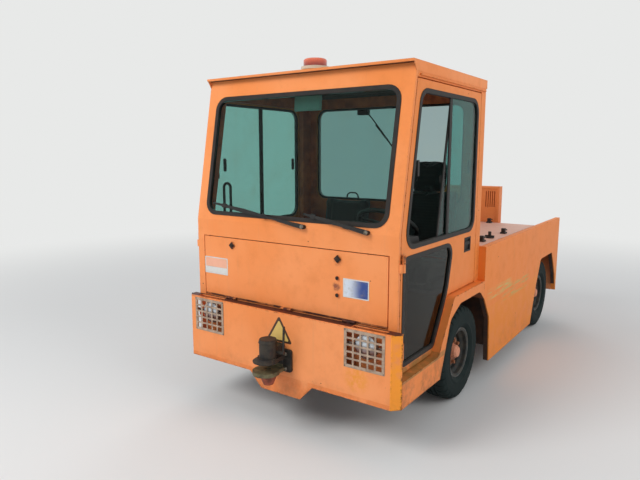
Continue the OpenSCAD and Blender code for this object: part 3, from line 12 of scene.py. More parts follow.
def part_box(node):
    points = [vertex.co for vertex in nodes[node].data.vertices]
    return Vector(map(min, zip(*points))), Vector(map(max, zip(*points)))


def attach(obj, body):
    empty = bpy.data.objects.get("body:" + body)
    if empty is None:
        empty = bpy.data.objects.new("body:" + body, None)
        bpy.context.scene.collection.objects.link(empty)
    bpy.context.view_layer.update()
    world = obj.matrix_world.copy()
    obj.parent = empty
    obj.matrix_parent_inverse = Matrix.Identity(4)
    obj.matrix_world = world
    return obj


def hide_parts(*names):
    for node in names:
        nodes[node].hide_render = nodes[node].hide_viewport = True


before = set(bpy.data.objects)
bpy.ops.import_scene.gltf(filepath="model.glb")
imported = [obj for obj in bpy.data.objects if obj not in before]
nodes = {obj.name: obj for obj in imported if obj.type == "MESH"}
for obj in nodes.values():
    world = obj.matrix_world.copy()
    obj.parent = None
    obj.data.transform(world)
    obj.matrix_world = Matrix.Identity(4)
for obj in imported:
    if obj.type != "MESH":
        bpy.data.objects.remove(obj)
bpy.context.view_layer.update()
scene = bpy.context.scene

# Sizes and places of the part that the looks go by
BODY_L = 3.490
CAB_X = 0.750  # half the cab's width
WALL_X = 0.712  # inner faces of the cab's side walls
CAB_FRONT = 0.073  # depth of the cab's front and of the hatch
CAB_BACK = 1.290  # depth of the cab's rear face
WALL_BACK = 1.250  # depth of the rear wall's inner face
KINK_Z = 1.229  # height from which the cab's front leans back
RAKE = math.radians(10.3)
BELT_Z = 1.143  # between the windows and the doors' lower panes
FLOOR_Z = 0.500
ROOF_Z = 2.083  # underside of the roof
LEDGE_Z = 0.718  # top of the bumper's ledge
GRILLE_X = 0.590
GRILLE_LOW, GRILLE_HIGH = 0.490, 0.710
STUD_OUT = 0.026  # how far the studs on the hitches' plates stand out of the body
WHEEL_R = 0.320
AXLES = {"front": 1.027, "rear": 3.038}
SIDES = {"left": 1, "right": -1}


def at_depth(d):
    return d - BODY_L / 2


# Camera: the photograph's place, aim and lens

camera = bpy.data.objects.new("camera", bpy.data.cameras.new("camera"))
scene.collection.objects.link(camera)
camera.location = (2.0687, -4.2580, 1.6571)
camera.rotation_euler = (math.radians(81.234), 0, math.radians(35.148))
camera.data.sensor_width = 36
camera.data.lens = 31.62
camera.data.clip_end = 200
scene.camera = camera
scene.view_settings.view_transform = "Standard"


# Node graphs

def rgb(r, g, b):
    """Linear colour of an 8-bit sRGB one."""
    def line(v):
        v /= 255
        return v / 12.92 if v <= 0.04045 else ((v + 0.055) / 1.055) ** 2.4
    return (line(r), line(g), line(b), 1)


RUST = rgb(96, 50, 30)
DEEP_RUST = rgb(58, 34, 26)
DUST = rgb(150, 138, 118)
SOOT = rgb(40, 34, 30)
# painted shade for faces that look down and for the hatch's lower edge
UNDERSIDE_SHADE = rgb(72, 36, 28)
# pairs of tones that a face is mottled with
# a darker, redder orange that stands in for the shade inside the cab
INSIDE_SHADE = (rgb(240, 112, 60), rgb(194, 82, 48))
# painted shade in the wheel arches, with road dirt
ARCH_SHADE_AND_DIRT = (rgb(80, 50, 34), rgb(50, 36, 30))
# dirt and painted shade on the bumper's ledge
LEDGE_DIRT_AND_SHADE = (rgb(84, 36, 26), rgb(52, 28, 22))


class Graph:
    """A node material under construction. Places in it are the object's own, in metres."""

    def __init__(self, name):
        self.material = bpy.data.materials.new(name)
        self.material.use_nodes = True
        self.tree = self.material.node_tree
        self.tree.nodes.clear()
        self.out = self.tree.nodes.new("ShaderNodeOutputMaterial")
        self.place = self.node("TexCoord").outputs["Object"]
        split = self.node("SeparateXYZ", {0: self.place})
        self.x, self.y, self.z = split.outputs

    def node(self, kind, inputs=None, **props):
        """Adds a node. Each of its inputs is a value or another node's output."""
        made = self.tree.nodes.new("ShaderNode" + kind)
        for key, value in props.items():
            setattr(made, key, value)
        for key, value in (inputs or {}).items():
            self.feed(made.inputs[key], value)
        return made

    def feed(self, socket, value):
        if isinstance(value, bpy.types.NodeSocket):
            self.tree.links.new(value, socket)
        else:
            socket.default_value = value

    def calc(self, op, a, b=0.0):
        return self.node("Math", {0: a, 1: b}, operation=op).outputs[0]

    def plus(self, a, b):
        return self.calc("ADD", a, b)

    def minus(self, a, b):
        return self.calc("SUBTRACT", a, b)

    def times(self, a, b):
        return self.calc("MULTIPLY", a, b)

    def most(self, a, b):
        return self.calc("MAXIMUM", a, b)

    def step(self, value, low, high):
        """Smooth step from 0 at one limit to 1 at the other."""
        made = self.node("MapRange", {0: value, 1: low, 2: high}, interpolation_type="SMOOTHSTEP")
        return made.outputs[0]

    def noise(self, scale, detail=4, rough=0.55, stretch=None):
        place = self.place
        if stretch:
            made = self.node("VectorMath", {0: place, 1: stretch}, operation="MULTIPLY")
            place = made.outputs[0]
        made = self.node("TexNoise", {"Vector": place, "Scale": scale, "Detail": detail,
                                      "Roughness": rough})
        return made.outputs[0]

    def cells(self, scale):
        """Distance from the nearest of scattered points."""
        return self.node("TexVoronoi", {"Vector": self.place, "Scale": scale}).outputs["Distance"]

    def waves(self, scale, way, distortion=0.0):
        """Parallel waves along an axis."""
        made = self.node("TexWave", {"Vector": self.place, "Scale": scale,
                                     "Distortion": distortion}, bands_direction=way)
        return made.outputs[1]

    def blend(self, factor, a, b):
        made = self.node("Mix", data_type="RGBA")
        for socket, value in ((0, factor), (6, a), (7, b)):
            self.feed(made.inputs[socket], value)
        return made.outputs[2]

    def rusted(self, mask, tone, grain):
        """A tone with grainy rust over it."""
        return self.blend(mask, tone, self.blend(grain, DEEP_RUST, RUST))

    def distance(self, point):
        made = self.node("VectorMath", {0: self.place, 1: point}, operation="DISTANCE")
        return made.outputs["Value"]

    def near(self, centre, radius):
        """1 close to a point and 0 past the radius."""
        return self.step(self.distance(centre), radius, radius * 0.3)

    def within(self, value, low, high, soft=0.002):
        """1 between two values."""
        return self.times(self.step(value, low - soft, low), self.step(value, high + soft, high))

    def inside_x(self, outer, inner):
        """1 closer to the tug's middle plane than inner, and 0 past outer."""
        return self.step(self.calc("ABSOLUTE", self.x), outer, inner)

    def upward(self):
        """Height of the surface's own direction, from -1 under a face to 1 on top."""
        normal = self.node("NewGeometry").outputs["Normal"]
        return self.node("SeparateXYZ", {0: normal}).outputs[2]

    def rounded_normal(self, radius):
        return self.node("Bevel", {"Radius": radius}, samples=4).outputs[0]

    def edges(self, radius):
        """1 along sharp edges."""
        flat = self.node("NewGeometry").outputs["Normal"]
        dot = self.node("VectorMath", {0: self.rounded_normal(radius), 1: flat},
                        operation="DOT_PRODUCT")
        return self.step(self.minus(1.0, dot.outputs["Value"]), 0.02, 0.16)

    def bump(self, height, strength, distance, normal=None):
        inputs = {"Height": height, "Strength": strength, "Distance": distance}
        if normal is not None:
            inputs["Normal"] = normal
        return self.node("Bump", inputs).outputs[0]

    def pitted(self, grain, mottled, strength, distance, radius):
        """Normal of a pitted surface with rounded edges."""
        height = self.plus(grain, self.times(mottled, 2.0))
        return self.bump(height, strength, distance, self.rounded_normal(radius))

    def finish(self, **inputs):
        """Ends the graph in a Principled shader."""
        named = {key.replace("_", " "): value for key, value in inputs.items()}
        shader = self.node("BsdfPrincipled", named)
        self.tree.links.new(shader.outputs[0], self.out.inputs[0])
        return self.material


# Materials

def paint(name, colour, faded, chips, grime, low, blobs=(), bands=(), scuffs=(),
          inner=None, inner_tones=INSIDE_SHADE, under=0.0):
    """Weathered paint: fading, streaks, grime low down, rust along edges, and spots.

    low is the heights between which grime and rust set in.
    blobs are (centre, radius, colour, strength), and bands are (axis, low, high, colour, strength).
    scuffs are (first y, last y, first z, last z, colour) of areas with long level scratches on the
    left side, where x is above 0.
    inner gives the mask of faces in two other tones, a painted shade, with dirt on the ledge and in
    the arches, and under darkens faces that look down as a painted shade."""
    g = Graph(name)
    wide = g.noise(1.6, 3)
    mottled = g.noise(11, 5, 0.65)
    grain = g.noise(160, 3)
    streak = g.noise(1, 4, 0.6, stretch=(34, 34, 2.2))
    tone = g.blend(g.step(wide, 0.30, 0.70), colour, faded)
    darker = tuple(c * 0.80 for c in colour[:3]) + (1,)
    tone = g.blend(g.times(g.step(mottled, 0.45, 0.80), 0.40), tone, darker)
    tone = g.blend(g.times(g.step(streak, 0.56, 0.78), 0.22 * grime), tone, DUST)
    for axis, start, end, tint, strength in bands:
        mask = g.times(g.within(getattr(g, axis), start, end), g.step(mottled, 0.25, 0.60))
        tone = g.blend(g.times(mask, strength), tone, tint)
    for centre, radius, tint, strength in blobs:
        mask = g.times(g.near(centre, radius), g.step(g.noise(30, 5, 0.7), 0.36, 0.62))
        tone = g.blend(g.times(mask, strength), tone, tint)
    for y0, y1, z0, z1, tint in scuffs:
        lines = g.step(g.noise(1, 5, 0.7, stretch=(3, 3, 62)), 0.48, 0.58)
        lines = g.times(lines, g.step(g.x, 0.0, 0.1))
        area = g.times(g.within(g.y, y0, y1, 0.12), g.within(g.z, z0, z1, 0.03))
        tone = g.blend(g.times(g.times(area, lines), 0.85), tone, tint)
    # grime and rust gather towards the lower edge
    depth = g.step(g.z, *low)
    smear = g.times(g.step(g.noise(7, 6, 0.7), 0.40, 0.72), depth)
    tone = g.blend(g.times(smear, 0.75 * grime), tone, SOOT)
    spots = g.step(g.noise(46, 5, 0.72), 0.70 - 0.02 * chips, 0.74)
    spots = g.times(spots, g.plus(g.times(depth, 0.8), 0.2 * chips))
    # paint is worn off along edges
    patches = g.step(g.noise(24, 5, 0.75), 0.62 - 0.18 * chips, 0.66)
    worn = g.times(g.edges(0.005 + 0.011 * chips), patches)
    # single stone chips, some four millimetres across
    specks = g.times(g.step(g.cells(8.5), 0.036, 0.028), g.step(g.noise(4.3, 2), 0.46, 0.52))
    rust = g.most(spots, g.times(worn, min(1.0, 0.5 + chips * 0.5)))
    rust = g.most(rust, specks)
    tone = g.rusted(rust, tone, g.step(grain, 0.35, 0.65))
    # faces that look down get painted shade
    if under:
        tone = g.blend(g.times(g.step(g.upward(), -0.4, -0.8), under), tone, UNDERSIDE_SHADE)
    # faces under the inner mask get painted shade, with dirt on the ledge and in the arches
    if inner:
        tone = g.blend(inner(g), tone, g.blend(g.step(mottled, 0.35, 0.65), *inner_tones))
    rough = g.blend(rust, g.plus(0.42, g.times(mottled, 0.22)), (0.85, 0.85, 0.85, 1))
    height = g.plus(g.times(mottled, 0.5), g.times(rust, -0.6))
    height = g.plus(g.times(grain, 0.35), height)
    normal = g.bump(height, 0.20, 0.0015, g.rounded_normal(0.003))
    return g.finish(Base_Color=tone, Roughness=rough, Normal=normal)


def metal(name, colour, dull, rough, metallic, rust, scale=30):
    """Bare or thinly painted metal with dull patches and rust."""
    g = Graph(name)
    mottled = g.noise(scale, 5, 0.65)
    grain = g.noise(scale * 9, 3)
    tone = g.blend(g.step(mottled, 0.35, 0.66), colour, dull)
    spots = g.step(g.noise(scale * 0.7, 6, 0.72), 0.66 - 0.2 * rust, 0.80 - 0.2 * rust)
    spots = g.times(spots, rust)
    tone = g.rusted(spots, tone, grain)
    roughness = g.plus(rough, g.times(g.plus(mottled, spots), 0.25))
    shine = g.times(g.minus(1.0, spots), metallic)
    normal = g.pitted(grain, mottled, 0.25, 0.001, 0.003)
    return g.finish(Base_Color=tone, Roughness=roughness, Metallic=shine, Normal=normal)


def polymer(name, colour, dusty, rough, grain=400, dust=0.3, depth=0.0006, gleam=0.5):
    """Moulded plastic or rubber with dust on what looks up."""
    g = Graph(name)
    mottled = g.noise(14, 5, 0.65)
    cover = g.plus(g.step(g.upward(), -0.2, 1.0), 0.35)
    cover = g.times(cover, g.times(g.step(mottled, 0.30, 0.72), dust))
    tone = g.blend(cover, colour, dusty)
    roughness = g.plus(rough, g.times(mottled, 0.2))
    normal = g.bump(g.noise(grain, 2), 0.3, depth, g.rounded_normal(0.003))
    return g.finish(Base_Color=tone, Roughness=roughness, Normal=normal, Specular_IOR_Level=gleam)


def fabric(name, colour, worn):
    """Woven cover: crossed threads, and lighter where it is rubbed and dusty."""
    g = Graph(name)
    threads = g.times(g.waves(130.0, "X", 1.0), g.waves(130.0, "Z", 1.0))
    threads = g.most(threads, g.waves(90.0, "Y", 1.0))
    rubbed = g.step(g.noise(7, 5, 0.65), 0.45, 0.75)
    tone = g.blend(g.times(rubbed, 0.5), colour, worn)
    tone = g.blend(g.times(threads, 0.30), tone, worn)
    return g.finish(Base_Color=tone, Roughness=0.85, Sheen_Weight=0.3,
                    Normal=g.bump(threads, 0.5, 0.0008))


def pane(name, tint, low_tint=None, rear_tint=None):
    """Window glass of a thin tint, with a film of dirt and streaks on it.

    low_tint is for panes under the belt, and rear_tint is for panes at the cab's rear."""
    g = Graph(name)
    dirt = g.times(g.step(g.noise(5, 5, 0.7), 0.45, 0.85), 0.30)
    streak = g.noise(1, 4, 0.6, stretch=(26, 26, 1.8))
    streak = g.times(g.step(streak, 0.55, 0.80), 0.20)
    tone = tint
    if low_tint:
        tone = g.blend(g.step(g.z, BELT_Z + 0.01, BELT_Z - 0.01), tint, low_tint)
    if rear_tint:
        tone = g.blend(g.step(g.y, -0.7, -0.6), tint, rear_tint)
    tone = g.blend(g.plus(dirt, streak), tone, rgb(172, 184, 172))
    return g.finish(Base_Color=tone, Roughness=0.0, IOR=1.2, Transmission_Weight=1.0)


def ribbed(name, colour):
    """Moulded lens of one colour with fine ribs."""
    g = Graph(name)
    normal = g.bump(g.waves(90, "X"), 0.4, 0.002, g.rounded_normal(0.002))
    return g.finish(Base_Color=colour, Roughness=0.14, Normal=normal, Coat_Weight=0.6)


def graded(name, low_tone, high_tone, z0, z1, rough, ribs):
    """Moulded lens whose colour changes with its height: darker low down as a painted shade and
    lighter towards the top as a painted highlight.
    """
    g = Graph(name)
    share = g.plus(g.step(g.z, z0, z1), g.times(g.minus(g.noise(28, 4), 0.5), 0.6))
    tone = g.blend(share, low_tone, high_tone)
    normal = g.bump(g.waves(ribs, "X"), 0.35, 0.002, g.rounded_normal(0.003))
    return g.finish(Base_Color=tone, Roughness=rough, Normal=normal, Coat_Weight=0.6)


def wheel_finish(name, axle_d):
    """Painted disc wheel in rings round its axle: cap, nuts, dish and rim."""
    g = Graph(name)
    y = g.minus(g.y, at_depth(axle_d))
    z = g.minus(g.z, WHEEL_R)
    r = g.calc("SQRT", g.plus(g.times(y, y), g.times(z, z)))
    mottled = g.noise(26, 5, 0.65)
    grain = g.noise(220, 3)
    dirt = g.step(mottled, 0.38, 0.66)
    dish = g.blend(dirt, rgb(38, 43, 43), rgb(70, 66, 58))
    rim = g.blend(dirt, rgb(96, 98, 96), rgb(66, 62, 56))
    nuts = g.blend(dirt, rgb(158, 98, 62), rgb(92, 58, 42))
    cap = g.blend(g.times(dirt, 0.4), rgb(226, 152, 118), rgb(176, 108, 80))
    tone = g.blend(g.step(r, 0.160, 0.166), dish, rim)
    tone = g.blend(g.step(r, 0.100, 0.094), tone, nuts)
    tone = g.blend(g.step(r, 0.053, 0.050), tone, cap)
    spots = g.step(g.noise(40, 6, 0.72), 0.58, 0.70)
    tone = g.rusted(g.times(spots, 0.7), tone, grain)
    rough = g.plus(0.55, g.times(mottled, 0.25))
    normal = g.pitted(grain, mottled, 0.25, 0.001, 0.003)
    return g.finish(Base_Color=tone, Roughness=rough, Normal=normal)


def hitch_finish(name):
    """Cast hitch: black housing, rubbed lower jaw and rusty foot."""
    g = Graph(name)
    mottled = g.noise(24, 5, 0.65)
    grain = g.noise(230, 3)
    dirt = g.step(mottled, 0.35, 0.66)
    tone = g.blend(dirt, rgb(42, 40, 39), rgb(66, 59, 50))
    face = BODY_L / 2 + STUD_OUT
    outside = g.step(g.calc("ABSOLUTE", g.y), face, face + 0.006)
    jaw = g.times(outside, g.step(g.z, 0.420, 0.416))
    tone = g.blend(jaw, tone, g.blend(dirt, rgb(116, 110, 80), rgb(84, 78, 60)))
    foot = g.times(outside, g.step(g.z, 0.382, 0.376))
    tone = g.blend(foot, tone, g.blend(dirt, rgb(164, 84, 60), rgb(112, 58, 42)))
    spots = g.times(g.step(g.noise(20, 6, 0.72), 0.56, 0.70), 0.7)
    tone = g.rusted(spots, tone, grain)
    rough = g.plus(0.5, g.times(mottled, 0.25))
    normal = g.pitted(grain, mottled, 0.35, 0.0015, 0.004)
    return g.finish(Base_Color=tone, Roughness=rough, Metallic=0.25, Normal=normal)


def two_tone(name, left, right, at, soft):
    """Film that changes from one colour to another along X."""
    g = Graph(name)
    mix = g.step(g.plus(g.x, g.times(g.noise(9, 3), 0.03)), at - soft, at + soft)
    tone = g.blend(mix, left, right)
    tone = g.blend(g.times(g.step(g.noise(40, 4), 0.45, 0.75), 0.35), tone, DUST)
    return g.finish(Base_Color=tone, Roughness=0.4, Normal=g.bump(g.noise(60, 3), 0.1, 0.0005))


# Masks of the faces that have other tones than their piece: painted shade inside the cab,
# and painted shade with dirt on the bumper's ledge and in the wheel arches

def in_cab_front(g):
    """1 on the faces of the cab's front that look into the cab."""
    lean = g.most(g.times(g.minus(g.z, KINK_Z), math.tan(RAKE)), 0.0)
    back = g.minus(g.minus(g.y, at_depth(CAB_FRONT)), lean)
    return g.times(g.step(back, 0.019, 0.022), g.inside_x(WALL_X + 0.010, WALL_X + 0.004))


def in_cab_sides(g):
    return g.inside_x(WALL_X + 0.004, WALL_X + 0.0005)


def in_cab_rear(g):
    front = g.step(g.y, at_depth(WALL_BACK + 0.006), at_depth(WALL_BACK + 0.002))
    return g.times(front, g.inside_x(WALL_X + 0.004, WALL_X - 0.002))


def on_ledge(g):
    """1 on the top of the bumper's ledge, behind its front edge."""
    top = g.step(g.z, LEDGE_Z - 0.0025, LEDGE_Z - 0.001)
    return g.times(top, g.step(g.y, at_depth(0.008), at_depth(0.012)))


def in_arches(g):
    """1 on the inner faces round the wheels."""
    front = g.times(g.step(g.y, at_depth(1.520), at_depth(1.500)), g.step(g.z, 0.770, 0.760))
    rear = g.within(g.y, at_depth(2.60), at_depth(3.45))
    rear = g.times(rear, g.step(g.z, 0.745, 0.735))
    return g.times(g.inside_x(0.794, 0.790), g.most(front, rear))


ORANGE = rgb(244, 142, 72)
ORANGE_FADED = rgb(250, 156, 94)
ORANGE_SIDE = rgb(236, 134, 58)
BLEACHED = rgb(226, 172, 148)
SILL_DIRT = rgb(136, 108, 52)
GLASS = rgb(172, 208, 202)

look = {}

# Painted sheet
look["front_bumper"] = paint(
    "bumper_paint", ORANGE, ORANGE_FADED, chips=1.0, grime=0.4, low=(0.45, 0.24),
    bands=[("z", 0.205, 0.330, rgb(230, 120, 48), 0.6),
           ("x", 0.752, 0.802, rgb(255, 156, 40), 1.3)],
    blobs=[((0.54, -1.745, 0.428), 0.10, rgb(240, 150, 40), 0.9)],
    # the ledge gets dirt and painted shade
    inner=on_ledge, inner_tones=LEDGE_DIRT_AND_SHADE)
# the fenders' faces that look down get painted shade
look["front_fenders"] = paint(
    "fender_paint", ORANGE_SIDE, ORANGE, chips=1.0, grime=0.8, low=(0.62, 0.30),
    bands=[("z", 0.444, 0.476, SILL_DIRT, 0.7)], under=0.85)
# the rear sides' faces that look down get painted shade
look["rear_sides"] = paint(
    "side_paint", rgb(242, 134, 46), ORANGE_SIDE, chips=0.5, grime=0.4, low=(0.40, 0.14),
    bands=[("z", 0.14, 0.56, rgb(238, 136, 30), 0.9), ("z", 1.020, 1.034, RUST, 0.6)],
    scuffs=[(at_depth(1.45), at_depth(1.85), 0.62, 0.67, rgb(206, 186, 110)),
            (at_depth(1.80), at_depth(2.35), 0.55, 0.62, rgb(196, 172, 96))],
    # the arches' inner faces get painted shade with road dirt
    inner=in_arches, inner_tones=ARCH_SHADE_AND_DIRT, under=0.85)
# the cab's front, sides and rear wall get painted shade on their inner faces
look["cab_front"] = paint(
    "front_paint", ORANGE, ORANGE_FADED, chips=0.4, grime=0.4, low=(0.90, 0.60),
    inner=in_cab_front)
look["front_hatch"] = paint(
    "hatch_paint", ORANGE, ORANGE_FADED, chips=0.4, grime=0.4, low=(0.80, 0.70),
    # a painted shadow strip along the hatch's lower edge, over the bumper's ledge
    bands=[("z", 0.712, 0.734, UNDERSIDE_SHADE, 1.0)],
    blobs=[((0.362, at_depth(CAB_FRONT), 0.912), 0.034, rgb(150, 84, 58), 1.2),
           ((0.370, at_depth(CAB_FRONT), 1.060), 0.040, rgb(170, 84, 44), 0.7)])
look["cab_sides"] = paint(
    "cab_paint", ORANGE_SIDE, ORANGE, chips=0.5, grime=0.5, low=(0.95, 0.70),
    inner=in_cab_sides)
look["cab_rear"] = paint(
    "rear_wall_paint", ORANGE_SIDE, ORANGE, chips=0.4, grime=0.5, low=(1.10, 0.80),
    inner=in_cab_rear)
# the roof lip's faces that look down get painted shade
look["cab_roof"] = paint(
    "roof_paint", ORANGE, ORANGE_FADED, chips=0.3, grime=0.9, low=(2.0, 1.9), under=0.95)
look["cab_floor"] = paint(
    "floor_paint", rgb(104, 62, 40), rgb(74, 54, 44), chips=1.0, grime=1.0, low=(0.80, 0.50))
look["deck_lid"] = paint(
    "deck_paint", BLEACHED, rgb(232, 184, 164), chips=0.7, grime=0.6, low=(0.99, 0.9))
look["rear_bed"] = paint(
    "bed_paint", ORANGE_SIDE, rgb(234, 150, 100), chips=0.8, grime=0.5, low=(0.60, 0.30))
look["radiator_housing"] = paint(
    "housing_paint", rgb(236, 132, 62), rgb(240, 150, 92), chips=0.5, grime=0.6,
    low=(0.90, 0.74))
for side, glass in (("left", rgb(150, 212, 206)), ("right", GLASS)):
    look[side + "_door"] = paint(
        side + "_door_paint", ORANGE_SIDE, ORANGE, chips=0.7, grime=0.6, low=(0.86, 0.46),
        bands=[("z", 0.464, 0.492, SILL_DIRT, 0.8)],
        blobs=[((x, at_depth(0.10), 1.10), 0.075, RUST, 0.9) for x in (-0.77, 0.77)])
    look[side + "_door_trim"] = polymer(
        side + "_door_rubber", rgb(30, 27, 26), rgb(92, 84, 76), 0.55)
    look[side + "_door_glass"] = pane(side + "_door_pane", glass, low_tint=rgb(150, 156, 146))

# Running gear and engine
tyre_rubber = polymer("tyre_rubber", rgb(26, 36, 36), rgb(60, 70, 66), 0.75, grain=260,
                      dust=0.4, depth=0.001, gleam=0.2)
for end, axle_d in AXLES.items():
    disc = wheel_finish(end + "_wheel_paint", axle_d)
    for side in SIDES:
        look[f"{end}_{side}_wheel"] = disc
        look[f"{end}_{side}_tyre"] = tyre_rubber
chassis = metal("chassis_paint", rgb(52, 46, 42), rgb(34, 30, 28), 0.6, 0.1, 0.7, 22)
for name in ("frame_rails", "front_axle", "front_springs", "rear_axle", "left_knuckle",
             "right_knuckle", "tie_rod"):
    look[name] = chassis
look["engine_block"] = metal("engine_cast", rgb(74, 72, 68), rgb(44, 40, 36), 0.6, 0.5, 0.5)
look["tow_hitches"] = hitch_finish("hitch_cast")

# Lights, glass and rubber
look["lamp_grilles"] = metal("grille_zinc", rgb(192, 168, 146), rgb(158, 136, 118),
                             0.5, 0.25, 0.4, 26)
look["headlamps"] = metal("lamp_reflector", rgb(150, 128, 116), rgb(96, 70, 60), 0.3, 0.7, 0.2)
look["rear_lamps"] = ribbed("rear_lamp_red", rgb(168, 24, 20))
look["beacon_base"] = polymer("beacon_cream", rgb(206, 200, 180), rgb(140, 130, 112), 0.5)
# the dome's darker lower part and lighter top are painted shade and a painted highlight
look["beacon_lens"] = graded("beacon_dome_painted_light", rgb(150, 52, 34), rgb(226, 112, 76), 2.182, 2.222,
                             0.14, 34)
look["cab_glass"] = pane("cab_pane", GLASS, rear_tint=rgb(160, 180, 180))
look["cab_seals"] = polymer("window_rubber", rgb(26, 23, 22), rgb(96, 84, 74), 0.5)
look["wipers"] = polymer("wiper_black", rgb(24, 23, 23), rgb(80, 76, 70), 0.45)
look["deck_latches"] = polymer("latch_black", rgb(26, 25, 25), rgb(92, 86, 78), 0.45)

# Inside the cab
look["dashboard"] = polymer("dash_plastic", rgb(34, 33, 33), rgb(104, 98, 90), 0.55, grain=220)
look["driver_controls"] = metal("control_paint", rgb(36, 34, 33), rgb(54, 50, 46), 0.5, 0.2, 0.3)
look["steering_wheel"] = polymer("steering_plastic", rgb(24, 24, 25), rgb(90, 86, 80), 0.4)
look["seat_base"] = metal("seat_frame", rgb(40, 38, 37), rgb(62, 56, 50), 0.5, 0.3, 0.4)
look["seat_cushions"] = polymer("seat_cloth_under", rgb(30, 30, 32), rgb(84, 80, 76), 0.8,
                                grain=900)
# the mirror's pale grey-green is a painted reflection
look["interior_mirror"] = polymer("mirror_painted_reflection", rgb(160, 184, 174), rgb(124, 136, 126), 0.2)

for name, material in look.items():
    obj = nodes[name]
    obj.data.materials.clear()
    obj.data.materials.append(material)

# Materials of the fittings
black_plastic = look["wipers"]
bolt_metal = metal("bolt_zinc", rgb(150, 146, 134), rgb(96, 84, 70), 0.4, 0.7, 0.5, 60)
lock_metal = metal("lock_core", rgb(70, 58, 50), rgb(44, 36, 32), 0.5, 0.5, 0.8, 60)
black_rubber = polymer("seal_rubber", rgb(24, 22, 21), rgb(84, 76, 68), 0.6)
white_film = polymer("white_film", rgb(222, 222, 218), rgb(168, 156, 140), 0.45, dust=0.5)
peach_film = polymer("peach_film", rgb(244, 180, 150), rgb(214, 150, 120), 0.45, dust=0.5)
blue_film = two_tone("blue_film", rgb(214, 222, 232), rgb(48, 74, 142), 0.50, 0.05)
# the headlamp glass is brownish low down and bluish-white higher up: painted shade and a painted
# glint
headlamp_lens_glint = graded("headlamp_lens_glint", rgb(120, 74, 60), rgb(206, 216, 222), 0.590, 0.650,
                       0.08, 60)
# dark brown that stands in for the shade under the roof
lining_shade_cloth = polymer("roof_lining", rgb(50, 40, 35), rgb(34, 28, 25), 0.85, grain=700)
seat_cloth = fabric("seat_cloth", rgb(26, 26, 28), rgb(62, 60, 58))
piping = polymer("seat_piping", rgb(22, 22, 23), rgb(70, 66, 62), 0.5, dust=0.2)


# Pieces made in mesh code

def piece(name, bm, material, body, smooth=None):
    """Makes an object of a bmesh that rides on a body, shaded smooth up to an angle in degrees."""
    mesh = bpy.data.meshes.new(name)
    bmesh.ops.recalc_face_normals(bm, faces=bm.faces)
    bm.to_mesh(mesh)
    bm.free()
    if smooth is not None:
        mesh.set_sharp_from_angle(angle=math.radians(smooth))
    else:
        mesh.shade_flat()
    obj = bpy.data.objects.new(name, mesh)
    scene.collection.objects.link(obj)
    obj.data.materials.append(material)
    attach(obj, body)
    return obj


def bridge(bm, a, b):
    """Faces between two rings of as many points."""
    for i in range(len(a)):
        j = (i + 1) % len(a)
        bm.faces.new((a[i], a[j], b[j], b[i]))


def skin(bm, rings):
    """Closed surface through rings of as many points, with a flat face at both ends."""
    for a, b in zip(rings, rings[1:]):
        bridge(bm, a, b)
    bm.faces.new(rings[0][::-1])
    bm.faces.new(rings[-1])


def middle_of(outline):
    return sum((Vector(p) for p in outline), Vector((0, 0))) / len(outline)


# Planes that a piece is drawn on, each at a place given by x, depth and height

def facing(x, d, z, way):
    """Matrix whose Z points out of a face, whose Y points up it and whose X points along it."""
    along, up = {
        "front": ((1, 0, 0), (0, 0, 1)),
        "back": ((-1, 0, 0), (0, 0, 1)),
        "left": ((0, 1, 0), (0, 0, 1)),
        "right": ((0, -1, 0), (0, 0, 1)),
        "lean": ((1, 0, 0), (0, math.sin(RAKE), math.cos(RAKE)))}[way]
    along, up = Vector(along), Vector(up)
    out = along.cross(up)
    place = Matrix((along, up, out)).transposed().to_4x4()
    place.translation = (x, at_depth(d), z)
    return place


def level(z):
    """Plane at a height, whose X is x and whose Y is a depth."""
    return Matrix.Translation((0, at_depth(0), z))


def spun(angle):
    """Turn round the Z of a plane, in radians."""
    return Matrix.Rotation(angle, 4, "Z")


def box_outline(w, h, x=0.0, y=0.0):
    return [(x - w / 2, y - h / 2), (x + w / 2, y - h / 2),
            (x + w / 2, y + h / 2), (x - w / 2, y + h / 2)]


def rounded(outline, radius, steps=5):
    """Outline with each corner turned into an arc."""
    made = []
    count = len(outline)
    for i, p in enumerate(outline):
        p = Vector(p)
        a = (Vector(outline[i - 1]) - p).normalized()
        b = (Vector(outline[(i + 1) % count]) - p).normalized()
        half = a.angle(b) / 2
        centre = p + (a + b).normalized() * radius / math.sin(half)
        start = p + a * radius / math.tan(half) - centre
        turn = start.angle_signed(p + b * radius / math.tan(half) - centre)
        for k in range(steps + 1):
            spin = Matrix.Rotation(-turn * k / steps, 2)
            made.append(tuple(centre + spin @ start))
    return made


def prism(bm, outline, low, high, place, bevel=0.0):
    """Closed prism of a flat outline between two heights over a plane, bevelled at its top."""
    centre = middle_of(outline)
    reach = max((Vector(p) - centre).length for p in outline)
    levels = [(low, 1.0), (high - bevel, 1.0)]
    if bevel:
        levels.append((high, 1 - bevel / reach))
    rings = []
    for z, share in levels:
        flat = [centre + (Vector(p) - centre) * share for p in outline]
        rings.append([bm.verts.new(place @ Vector((p.x, p.y, z))) for p in flat])
    skin(bm, rings)


def lathe(bm, profile, place, steps=32):
    """Turned form of (radius, height) points round the Z of a plane."""
    rings = []
    for r, z in profile:
        if r < 1e-6:
            rings.append([bm.verts.new(place @ Vector((0, 0, z)))])
            continue
        angles = [2 * math.pi * k / steps for k in range(steps)]
        rings.append([bm.verts.new(place @ Vector((r * math.cos(a), r * math.sin(a), z)))
                      for a in angles])
    for a, b in zip(rings, rings[1:]):
        if len(a) == len(b):
            bridge(bm, a, b)
        else:
            # the profile's last point is on the axis
            for k in range(steps):
                bm.faces.new((a[k], a[(k + 1) % steps], b[0]))


